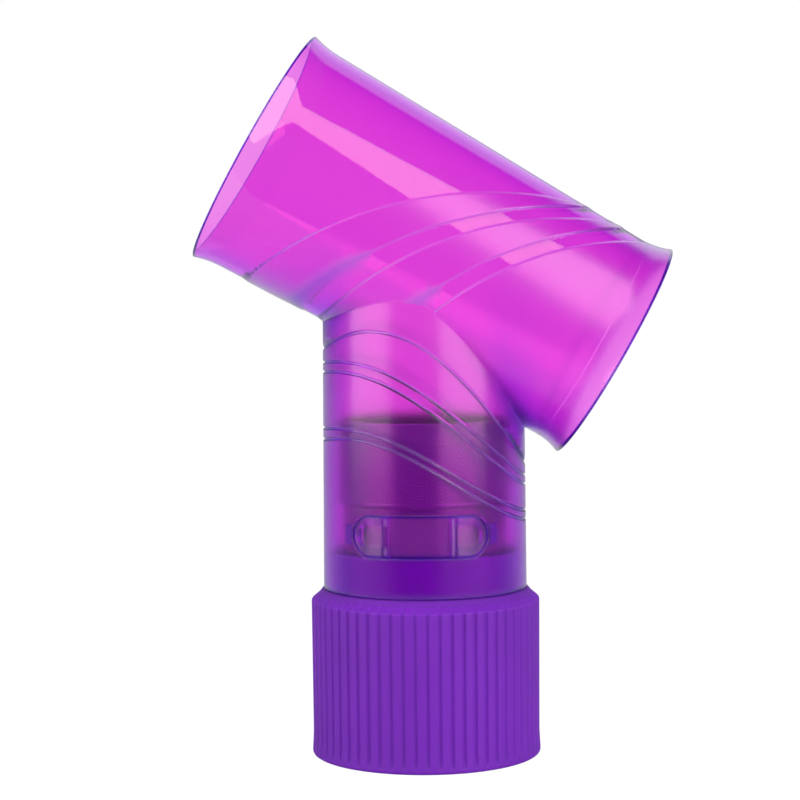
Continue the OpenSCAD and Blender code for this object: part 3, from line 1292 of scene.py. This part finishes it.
    def seam_rows(self, low: float, high: float, pitch: float, grooves: bool) -> Array:
        """Heights of the points on the map's two side borders, which meet at the back.

        Args:
            low: Height of the lower border.
            high: Height of the upper border.
            pitch: Spacing away from the grooves.
            grooves: Whether rows stand beside each groove.

        Returns:
            The heights in order.
        """
        rows = np.arange(low + pitch, high - 0.5 * pitch, pitch)
        if not grooves:
            return rows
        marks = np.array([self.groove_z(g, np.zeros(1))[0] for g in self.neck_grooves])
        lean = np.array([np.hypot(1, self.groove_slope(g, np.zeros(1))[0]) for g in self.neck_grooves])
        beside = (marks[:, None] + lean[:, None] * np.array(self.groove_rows)).ravel()
        beside = beside[(beside > low + 0.5) & (beside < high - 0.5)]
        clear = np.min(np.abs(rows[:, None] - beside), axis=1) > 0.5
        return np.sort(np.concatenate([rows[clear], beside]))

    def follow_grooves(self, sheet: Sheet, top: Array, hole: Array) -> None:
        """Adds rows of points along each neck groove, all the way round.

        Args:
            sheet: The neck's map.
            top: The crease in it.
            hole: The window's loop in it.
        """
        turn = np.linspace(-math.pi, math.pi, 342)[1:-1]
        x = self.size.neck_r * np.sin(turn)
        for g in self.neck_grooves:
            lean = np.sqrt(1 + (self.groove_slope(g, x) * np.cos(turn)) ** 2)
            for offset in self.groove_rows:
                line = np.stack([turn * self.size.neck_r, self.groove_z(g, x) + offset * lean], 1)
                line = line[line[:, 1] < np.interp(line[:, 0], top[:, 0], top[:, 1]) - 0.4]
                sheet.add_row(clear_of(line, hole, 0.4))

    def mouth(self, s: float, sign: float) -> Patch:
        """The rim between the outer and inner skins at a mouth.

        The rim is flat across the wall, with a quarter round at each corner.

        Args:
            s: Place of the mouth on the axis.
            sign: Minus one at the wide mouth, one at the narrow mouth.

        Returns:
            The patch.
        """
        u = self.border_columns()[:-1]
        v = np.full_like(u, s)
        outer, inner = self.barrel_outer(u, v), self.barrel_inner(u, v)
        quarter = np.linspace(0, math.pi / 2, 5)
        across = np.concatenate([self.size.rim_round * (1 - np.cos(quarter)), [0.35, 0.65]])
        across = np.concatenate([across, 1 - across[4::-1]])
        out = np.concatenate([np.sin(quarter), [1.0, 1.0]])
        out = np.concatenate([out, out[4::-1]]) * self.size.rim_bulge
        rows = [outer * (1 - a) + inner * a + self.along * sign * o for a, o in zip(across, out)]
        return strip(rows, self.rim_look, flip=sign > 0)

    def foot_ring(self, top: Array) -> Patch:
        """The neck's flat lower edge, with a small slope at each of its corners.

        Args:
            top: The crease in the neck's map, whose columns the ring shares.

        Returns:
            The patch.
        """
        k = self.size
        turn = top[:, 0] / k.neck_r
        outer = self.neck_radius(k.neck_low + k.foot_round)
        section = (
            (outer, k.foot_round),
            (outer - 0.2, 0.0),
            (k.bore_r + k.bore_round, 0.0),
            (k.bore_r, k.bore_round),
        )
        return strip([round_axis(turn, r, k.neck_low + z) for r, z in section], self.foot_look, flip=True)

    def build(self) -> bpy.types.Object:
        """Builds the moulding's mesh from its four skins and the strips that join them.

        Returns:
            The object.
        """
        k = self.size
        crease, crease_neck, crease_barrel = self.crease(self.neck_outer, self.outer_r)
        rim, rim_neck, rim_barrel = self.crease(self.neck_inner, self.inner_r)
        self.seam = crease
        hole_out, map_out = self.window(self.window_r, self.plate.gap)
        hole_in, map_in = self.window(k.bore_r, self.plate.gap)
        foot, bore = k.neck_low + k.foot_round, k.neck_low + k.bore_round
        skins = (
            (self.barrel_sheet(crease_barrel, self.barrel_pitches[0], True),
             self.barrel_outer, self.barrel_look, True, ((crease_barrel, crease),)),
            (self.barrel_sheet(rim_barrel, self.barrel_pitches[1], False),
             self.barrel_inner, PLAIN, False, ((rim_barrel, rim),)),
            (self.neck_sheet(crease_neck, map_out, foot, self.neck_pitches[0], True),
             self.neck_outer, self.neck_look, False, ((crease_neck, crease), (map_out, hole_out))),
            (self.neck_sheet(rim_neck, map_in, bore, self.neck_pitches[1], False),
             self.neck_inner, self.bore_look, True, ((rim_neck, rim), (map_in, hole_in))),
        )
        patches = []
        for (uv, faces), surface, look, flip, loops in skins:
            patch = lay(uv, faces, surface, look, flip)
            for loop_uv, loop in loops:
                pin_loop(patch, uv, loop_uv, loop)
            patches.append(patch)
        patches.append(strip([hole_out, hole_in], self.window_look))
        patches.append(self.mouth(k.wide, -1.0))
        patches.append(self.mouth(k.narrow, 1.0))
        patches.append(self.foot_ring(crease_neck))
        return make_mesh("barrel_moulding", patches)


def stadium(plate: PlateSizes, grow: float, pitch: float = 0.45) -> Array:
    """A stadium outline: two straight sides joined by half ellipses.

    Args:
        plate: The plate's sizes.
        grow: Distance by which the outline is larger than the plate.
        pitch: Spacing of the points.

    Returns:
        Points in order, anticlockwise in front view, shape (k, 2).
    """
    r = plate.height / 2 + grow
    side = np.linspace(-plate.run, plate.run, int(2 * plate.run / pitch) + 1)
    arc = np.linspace(-math.pi / 2, math.pi / 2, int(math.pi * r / pitch))[1:-1]
    right = np.stack([plate.run + plate.end * r * np.cos(arc), r * np.sin(arc)], 1)
    low = np.stack([side, np.full_like(side, -r)], 1)
    return np.concatenate([low, right, -low, -right])


@dataclass
class Plate:
    """The clip-in plate: a curved stadium with two ribs, three dishes and two tabs."""

    size: PlateSizes = field(default_factory=PlateSizes)
    pitch: float = 0.9
    rib_rows: tuple[float, ...] = (-1.0, -0.8, -0.6, 0.6, 1.1, 1.6)
    rim_rows: tuple[float, ...] = (0.2, 0.4, 1.2, 1.9, 2.6)
    # painted shade on the edge strip, along the outline, the ribs' flanks and the dishes' slopes
    edge_look: Amounts = Amounts(0.16, 0.95, 0.3)
    outline_shade: Ease = Ease(0.95, 0.5, 0.95)
    flank_shade: Ease = Ease(0.7, 0.2, 0.5)
    rib_light: Ease = Ease(0.55, 0.15)
    rib_ends: Ease = Ease(0.5, 1.2)
    beyond_rib: Ease = Ease(1.0, 1.8)
    dish_cloud: Ease = Ease(7.5, 3.5, 0.12)
    face_look: Amounts = Amounts(0.22, 0.15, 0.025)
    rib_adds: Amounts = Amounts(0.3, 0.6, 0.35)
    end_adds: Amounts = Amounts(painted_shade=0.05, frost=0.055)
    slope_shade: float = 0.28
    end_slope_shade: float = 0.25
    flank_off: float = 1.1
    shade_ceiling: float = 0.95
    tab_corners: int = 32

    def depth(self, x: Array, z: Array) -> Array:
        """How far the face is dished at a place in front view.

        The middle is dished between the ribs over its whole height. Each end is dished
        inside a rim that follows the outline. Edges ease over about a millimetre, and a
        small lip falls away along the outline.

        Args:
            x: Side position from the plate's middle.
            z: Height from the plate's middle.

        Returns:
            The depth.
        """
        k = self.size
        inset, flank, half = k.inset(x, z), np.abs(x) - k.rib_x, k.rib_w / 2
        middle = smooth(-half + 0.1, -half - 0.3, flank)
        ends = smooth(half - 0.1, half + 0.9, flank) * smooth(k.rim - 0.8, k.rim + 1.8, inset)
        return k.dish * np.maximum(middle, ends) + 0.3 * smooth(0.4, 0.0, inset)

    def look(self, x: Array, z: Array) -> tuple[Array, Array, Array]:
        """Even satin with a light line along each rib, and painted shade at edges and flanks.

        Painted shade is the most of a line along the outline and of the sum of the ribs'
        flanks, what isn't dished, and the slopes. The ends' dishes are clouded, most next
        to the ribs.

        Args:
            x: Side position from the plate's middle.
            z: Height from the plate's middle.

        Returns:
            Satin, painted shade and frost.
        """
        k = self.size
        inset = k.inset(x, z)
        sunk = np.clip(self.depth(x, z) / k.dish, 0, 1)
        rib = np.abs(x) - k.rib_x
        light = self.rib_light(np.abs(rib)) * self.rib_ends(inset)
        ends, slope = self.beyond_rib(rib), 4 * sunk * (1 - sunk)
        # painted shade on the flanks, the undished face and the slopes, less on each rib's line
        shade = self.flank_shade(np.abs(rib - self.flank_off)) + self.face_look.painted_shade * (1 - sunk)
        shade = shade + self.slope_shade * slope * (1 - ends)
        shade = shade + ends * (self.end_adds.painted_shade + self.end_slope_shade * slope)
        painted_shade = np.maximum(self.outline_shade(inset), shade * (1 - light) + self.rib_adds.painted_shade * light)
        cloud = self.face_look.frost + ends * (self.end_adds.frost + self.dish_cloud(rib))
        satin = self.face_look.satin + self.rib_adds.satin * light
        return satin, np.minimum(painted_shade, self.shade_ceiling), self.rib_adds.frost * light + cloud

    def front(self, x: Array, z: Array) -> Array:
        """The plate's dished face, for front-view columns x and z."""
        return self.bent(self.size.outer_r - self.depth(x, z), x, z)

    def back(self, x: Array, z: Array) -> Array:
        """The plate's plain back, for front-view columns x and z."""
        return self.bent(self.size.inner_r, x, z)

    def bent(self, r: Array | float, x: Array, z: Array) -> Array:
        """Bends front-view places round the neck's axis at a radius."""
        turn = np.arcsin(x / self.size.outer_r) + math.radians(self.size.turn)
        return round_axis(turn, r, z + self.size.middle_z)

    def sheet(self) -> tuple[Array, Array, Array]:
        """Triangulates the stadium along its dish edges.

        Returns:
            The outline, the map points and the triangles.
        """
        k, sheet = self.size, Sheet()
        outline = stadium(k, 0.0)
        sheet.add_line(outline, closed=True)
        z = np.linspace(-k.height / 2 + 0.6, k.height / 2 - 0.6, 26)
        for side in (-1, 1):
            for off in self.rib_rows:
                sheet.add_row(np.stack([np.full_like(z, side * (k.rib_x + off)), z], 1))
        for inset in self.rim_rows:
            sheet.add_row(stadium(k, -inset, 0.7))
        grid = lattice(np.arange(-21, 21.1, self.pitch), np.arange(-6, 6.1, self.pitch))
        sheet.add_fill(grid[inside_loop(grid, stadium(k, -0.6))], 0.4)
        uv, faces = sheet.triangles()
        return outline, uv, faces[inside_loop(uv[faces].mean(axis=1), outline)]

    def tab(self, side: int) -> Patch:
        """A tab behind the neck's wall: a bent bar that runs in under the plate's end.

        Rows of a rounded-box section, a superellipse, are carried round the neck's axis.

        Args:
            side: Minus one for the left tab, one for the right.

        Returns:
            The patch, closed at both ends.
        """
        k = self.size
        root, tip = k.length / 2 - k.tab_root, k.length / 2 + k.tab_reach
        middle = np.linspace(root + 2 * k.tab_round, tip - 2 * k.tab_round, 5)
        x = np.concatenate([[root, root, root + k.tab_round], middle, [tip - k.tab_round, tip, tip]])
        shrink = np.concatenate([[0.02, 0.9], np.full(7, 1.0), [0.9, 0.02]])
        corner = np.linspace(0, 2 * math.pi, self.tab_corners + 1)[:-1]
        lobe_r, lobe_z = (np.sign(wave) * np.abs(wave) ** 0.25 for wave in (np.cos(corner), np.sin(corner)))
        mid, half = (k.tab_outer_r + k.tab_inner_r) / 2, (k.tab_outer_r - k.tab_inner_r) / 2
        rows = []
        for xi, f in zip(x * side, shrink):
            r = mid + half * lobe_r * f
            turn = np.arcsin(xi / r) + math.radians(k.turn)
            rows.append(round_axis(turn, r, k.middle_z + k.tab_h / 2 * lobe_z * f))
        first, last = (np.repeat(row.mean(axis=0)[None], len(row), 0) for row in (rows[0], rows[-1]))
        return strip([first, *rows, last], flip=side > 0)

    def build(self) -> bpy.types.Object:
        """Builds the plate's mesh and its two tabs, which are its children.

        Returns:
            The plate's object.
        """
        outline, uv, faces = self.sheet()
        border = [skin(outline[:, 0], outline[:, 1]) for skin in (self.front, self.back)]
        plate = make_mesh("front_inlay", [
            lay(uv, faces, self.front, self.look),
            lay(uv, faces, self.back, flip=True),
            strip(border, self.edge_look, flip=True),
        ])
        for side, name in ((-1, "inlay_tab_left"), (1, "inlay_tab_right")):
            tab = make_mesh(name, [self.tab(side)])
            tab.parent = plate
        return plate


def revolve(profile: Array, segments: int) -> Patch:
    """Turns a closed profile round the neck's axis.

    Args:
        profile: Closed loop of (radius, height), shape (k, 2), outside on its right.
        segments: Steps round the axis.

    Returns:
        The patch.
    """
    turn = np.linspace(0, 2 * math.pi, segments + 1)[:-1]
    closed = np.concatenate([profile, profile[:1]])
    return strip([np.stack([r * np.cos(turn), r * np.sin(turn), z + 0 * turn], 1) for r, z in closed])


def rounded(corners: Sequence[tuple[float, float, float]], steps: int = 4) -> Array:
    """A closed profile with each corner cut to a round.

    Each round is a quadratic curve between two points on the sides next to the corner.

    Args:
        corners: Tuples of radius, height and the distance the round takes from a side.
        steps: Steps in each round.

    Returns:
        Profile points, shape (k, 2).
    """
    pts = np.array([c[:2] for c in corners], float)
    cut = np.array([c[2] for c in corners], float)
    back, fore = np.roll(pts, 1, 0) - pts, np.roll(pts, -1, 0) - pts
    back /= np.linalg.norm(back, axis=1, keepdims=True)
    fore /= np.linalg.norm(fore, axis=1, keepdims=True)
    t = np.linspace(0, 1, steps + 1)[None, :, None]
    p0, p2 = (pts + back * cut[:, None])[:, None], (pts + fore * cut[:, None])[:, None]
    return ((1 - t) ** 2 * p0 + 2 * t * (1 - t) * pts[:, None] + t**2 * p2).reshape(-1, 2)


@dataclass
class Guide:
    """The stiff tube that leads air up the neck."""

    size: GuideSizes = field(default_factory=GuideSizes)
    segments: int = 160

    def build(self) -> bpy.types.Object:
        """Builds the tube from one turned profile, with painted shade marked on its inside.

        Returns:
            The object.
        """
        k = self.size
        profile = rounded([
            (k.foot_r - k.wall, k.low, 0.2),
            (k.foot_r, k.low, k.edge),
            (k.foot_r, k.step - k.bead_h / 2, 0.1),
            (k.bead_r - 0.15, k.step - k.bead_h / 2, 0.3),
            (k.bead_r, k.step + k.bead_h / 4, 0.22),
            (k.radius, k.step + k.bead_h / 2, 0.22),
            (k.radius, k.top, k.edge),
            (k.radius - k.wall, k.top, 0.4),
            (k.radius - k.wall, k.step + 1.0, 0.3),
            (k.foot_r - k.wall, k.step, 0.3),
        ])
        tube = revolve(profile, self.segments)
        # painted shade marked on the tube's inside
        tube.look[:, 1] = np.hypot(tube.points[:, 0], tube.points[:, 1]) < k.radius - k.wall + 0.1
        return make_mesh("guide_tube", [tube])


@dataclass
class Sleeve:
    """The soft ribbed sleeve that grips the dryer."""

    size: SleeveSizes = field(default_factory=SleeveSizes)
    gap_columns: int = 7
    rib_columns: int = 5
    gap_reach: float = 1.35

    def profile(self) -> Array:
        """The turned section without its ribs: outside, shoulder, spigot, bore, socket."""
        k = self.size
        return self.refine(rounded([
            (k.socket_r, 0.0, 0.25),
            (k.radius + k.foot_flare, 0.0, k.foot_round),
            (k.radius - k.waist_loss, k.foot_round * 5, 0.5),
            (k.radius, k.height - k.shoulder_drop, 0.5),
            (k.crease_r, k.height - k.crease_drop, 0.5),
            (k.seat_r, k.height, 0.35),
            (k.spigot_r, k.height, 0.1),
            (k.spigot_r, k.spigot_top, k.lead_in),
            (k.recess_r, k.spigot_top, k.lead_in),
            (k.recess_r, k.recess_low, 0.1),
            (k.lip_r, k.recess_low, 0.3),
            (k.lip_r, k.socket_depth, 0.4),
            (k.socket_r, k.socket_depth, 0.3),
        ]))

    def refine(self, base: Array) -> Array:
        """Splits the section's sides: finely outside, where the ribs are, and coarsely inside.

        Args:
            base: Corners of the section in order, shape (k, 2).

        Returns:
            The section with more points, shape (m, 2).
        """
        rows = [base[0]]
        for p, q in zip(base[:-1], base[1:]):
            length = float(np.linalg.norm(q - p))
            outside = min(p[0], q[0]) > self.size.crease_r - 0.1
            n = max(1, int(length / (1.2 if outside else 12.0)))
            rows.extend(p + (q - p) * i / n for i in range(1, n + 1))
        return np.array(rows)

    def build(self) -> bpy.types.Object:
        """Builds the sleeve: the section is turned, and gaps between ribs are pressed in.

        A gap takes away a rounded trough of the angle round the axis, on the outside
        between the plain foot and the shoulder's crease.

        Returns:
            The object.
        """
        k = self.size
        pitch, half = 2 * math.pi / k.ribs, k.gap_w / 2 / k.radius
        brow = half * self.gap_reach
        local = np.concatenate([
            np.linspace(-brow, brow, self.gap_columns),
            np.linspace(brow, pitch - brow, self.rib_columns + 2)[1:-1],
        ])
        turn = (np.arange(k.ribs)[:, None] * pitch + local[None]).ravel()
        trough = 1 - smooth(half * k.gap_flat, half * k.gap_brow, np.abs(np.tile(local, k.ribs)))
        section = np.concatenate([self.profile(), self.profile()[:1]])
        crease = k.height - k.crease_drop
        amount = (
            smooth(k.crease_r - 0.25, k.crease_r + 0.3, section[:, 0])
            * smooth(k.plain_foot - 0.5, k.plain_foot + 0.5, section[:, 1])
            * (1 - smooth(crease - 0.6, crease, section[:, 1]))
        )
        rows = []
        for (r, z), depth in zip(section, amount * k.gap_d):
            rr = r - depth * trough
            rows.append(np.stack([rr * np.cos(turn), rr * np.sin(turn), z + 0 * turn], 1))
        return make_mesh("grip_cuff", [strip(rows)])


# ------------------------------------------------------------------------------ stage


@dataclass(frozen=True)
class Studio:
    """Camera, floor, lamps and world."""

    focal: float = 99.05
    camera_at: tuple[float, float, float] = (-0.00756, -0.702, 0.1534)
    pitch: float = 3.28
    roll: float = -0.55
    box_distance: float = 1.2
    box_low: float = -0.04
    box_high: float = 1.5
    light_radiance: float = 2.2
    face_radiance: float = 3.85
    lamp_color: tuple[float, float, float] = (1.0, 0.95, 0.81)
    floor_half: float = 4.0
    floor_near: float = -0.27
    floor_far: float = 6.0
    floor_glow: float = 1.1
    floor_mirror: float = 0.3
    floor_share: float = 0.9
    behind: tuple[float, float] = (0.7, 0.82)
    below: tuple[float, float] = (0.80, 0.74)
    lift: tuple[float, float] = (0.05, 0.35)
    lift_least: float = 0.12
    fill_heights: tuple[float, float] = (0.2, 0.8)
    fill: tuple[float, float] = (0.55, 0.15)
    mirrored_fill: float = 0.02

    def place_camera(self) -> None:
        """Creates the camera level with the object's middle, looking slightly down."""
        data = bpy.data.cameras.new("camera")
        data.lens = self.focal
        data.clip_start = 0.01
        camera = bpy.data.objects.new("camera", data)
        bpy.context.scene.collection.objects.link(camera)
        camera.matrix_world = (
            Matrix.Translation(self.camera_at)
            @ Matrix.Rotation(math.radians(90 - self.pitch), 4, "X")
            @ Matrix.Rotation(math.radians(self.roll), 4, "Z")
        )
        bpy.context.scene.camera = camera

    def softbox(self, name: str, left: float, right: float, share: float, shine: float) -> None:
        """Hangs an upright soft box between two compass angles, as two lamps in one place.

        One lamp lights matt surfaces and the other is the bright face that gloss mirrors.

        Args:
            name: Name of the lamps.
            left: Angle of its left edge from straight in front, in degrees.
            right: Angle of its right edge.
            share: Its share of the light on matt surfaces.
            shine: Its strength in mirrors and clear walls, as a share of the usual.
        """
        middle, half = math.radians((left + right) / 2), math.radians((right - left) / 2)
        width, height = 2 * self.box_distance * math.tan(half), self.box_high - self.box_low
        at = Vector((math.sin(middle), -math.cos(middle), 0)) * self.box_distance
        ends = (("_light", self.light_radiance * share), ("_face", self.face_radiance * shine))
        for end, radiance in ends:
            lamp = bpy.data.lights.new(name + end, "AREA")
            lamp.shape = "RECTANGLE"
            lamp.size, lamp.size_y = width, height
            lamp.energy = radiance * math.pi * width * height
            lamp.color = self.lamp_color if end == "_face" else (1.0, 1.0, 1.0)
            lamp.cycles.use_multiple_importance_sampling = end == "_face"
            box = bpy.data.objects.new(name + end, lamp)
            bpy.context.scene.collection.objects.link(box)
            box.location = (at.x, at.y, (self.box_high + self.box_low) / 2)
            box.rotation_euler = at.to_track_quat("Z", "Y").to_euler()
            box.visible_diffuse = end == "_light"
            box.visible_glossy = box.visible_transmission = end == "_face"

    def lay_floor(self) -> None:
        """Lays the pale floor; its near edge lies just in front of the object."""
        mesh = bpy.data.meshes.new("floor")
        x, near, far = self.floor_half, self.floor_near, self.floor_far
        mesh.from_pydata([(-x, near, 0), (x, near, 0), (x, far, 0), (-x, far, 0)], [], [(0, 1, 2, 3)])
        floor = bpy.data.objects.new("floor", mesh)
        bpy.context.scene.collection.objects.link(floor)
        floor.data.materials.append(self.pale_ground())

    def pale_ground(self) -> bpy.types.Material:
        """White card that shows as white but keeps the object's shadow.

        Its glow is seen by the camera and through clear walls, and less in mirrors.

        Returns:
            The material.
        """
        mat, graph, shader = new_material("pale_ground")
        graph.feed(shader, {"Base Color": (0.9, 0.9, 0.9, 1), "Roughness": 0.9, "Specular IOR Level": 0.0})
        rays = graph.add("LightPath").outputs
        mirrored = graph.math("MULTIPLY", rays["Is Glossy Ray"], self.floor_mirror)
        direct = graph.math("MAXIMUM", rays["Is Camera Ray"], rays["Is Transmission Ray"])
        share = graph.math("MULTIPLY", graph.math("MAXIMUM", direct, mirrored), self.floor_share)
        glow = graph.add("Emission", {"Strength": self.floor_glow})
        mix = graph.add("MixShader", {0: share, 1: shader.outputs[0], 2: glow.outputs[0]})
        graph.feed(mat.node_tree.nodes["Material Output"], {"Surface": mix.outputs[0]})
        return mat

    def light_world(self) -> None:
        """White backdrop for what is seen, even pale fill for what is lit.

        Reflections find the white backdrop behind the object, stronger with height and up
        to a limit, and the dim studio in front of it. The fill is less from above.
        """
        world = bpy.data.worlds.new("studio")
        bpy.context.scene.world = world
        world.use_nodes = True
        graph = Graph(world.node_tree)
        toward = graph.add("TexCoord").outputs["Generated"]
        up = graph.add("SeparateXYZ", {0: toward}).outputs["Z"]
        flat = graph.add("VectorMath", {0: toward, 1: (1, 1, 0)}, operation="MULTIPLY").outputs[0]
        level = graph.add("VectorMath", {0: flat}, operation="NORMALIZE").outputs[0]
        heading = graph.add("SeparateXYZ", {0: level}).outputs["Y"]
        behind = graph.span(heading, self.behind, (0, 1), "SMOOTHSTEP")
        below = graph.span(up, self.below, (0, 1), "SMOOTHSTEP")
        lifted = graph.span(up, self.lift, (self.lift_least, 1))
        backdrop = graph.math("MULTIPLY", graph.math("MULTIPLY", behind, below), lifted)
        rays = graph.add("LightPath").outputs
        direct = graph.math("MAXIMUM", rays["Is Camera Ray"], rays["Is Transmission Ray"])
        white = graph.math("MAXIMUM", direct, graph.math("MULTIPLY", rays["Is Glossy Ray"], backdrop))
        fill = graph.span(up, self.fill_heights, self.fill)
        dim = graph.span(rays["Is Glossy Ray"], (0, 1), (fill, self.mirrored_fill))
        background = world.node_tree.nodes["Background"]
        graph.feed(background, {"Strength": graph.math("MAXIMUM", white, dim), "Color": (1, 1, 1, 1)})

    def build(self) -> None:
        """Sets the stage and the plain view transform."""
        scene = bpy.context.scene
        scene.view_settings.view_transform = "Standard"
        scene.cycles.max_bounces = 32
        scene.cycles.glossy_bounces = 24
        scene.cycles.transmission_bounces = 32
        self.place_camera()
        self.lay_floor()
        self.softbox("softbox_right", 18.0, 72.0, 1.12, 1.18)
        self.softbox("softbox_left", -89.0, -39.0, 0.9, 1.04)
        self.light_world()


# ------------------------------------------------------------------------------- main


@dataclass(frozen=True)
class Dress:
    """How a piece is dressed: its finish, the body it rides on, the node it stands for."""

    piece: bpy.types.Object
    finish: Finish
    body: str
    node: str

    def apply(self, finishes: dict[Finish, bpy.types.Material]) -> None:
        """Gives the piece its material and its body, and hides the node it stands for.

        Args:
            finishes: The materials by their finish.
        """
        for part in (self.piece, *self.piece.children):
            finish = Finish.TAB if part.name.startswith("inlay_tab") else self.finish
            part.data.materials.append(finishes[finish])
        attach(self.piece, self.body)
        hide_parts(self.node)
        LOG.info("%s rides on %s for %s", self.piece.name, self.body, self.node)


def main() -> None:
    """Builds the scene in order and reports each piece."""
    logging.basicConfig(level=logging.INFO, format="%(name)s: %(message)s")
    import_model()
    Studio().build()
    finishes = {kind: finish.make() for kind, finish in FINISHES.items()}
    for dress in (
        Dress(Body().build(), Finish.CLEAR_BODY, "diffuser", "barrel_body"),
        Dress(Plate().build(), Finish.CLEAR_PLATE, "diffuser", "front_plate"),
        Dress(Guide().build(), Finish.GUIDE, "guide", "air_guide"),
        Dress(Sleeve().build(), Finish.SILICONE, "sleeve", "grip_sleeve"),
    ):
        dress.apply(finishes)


if __name__ == "__main__":
    main()
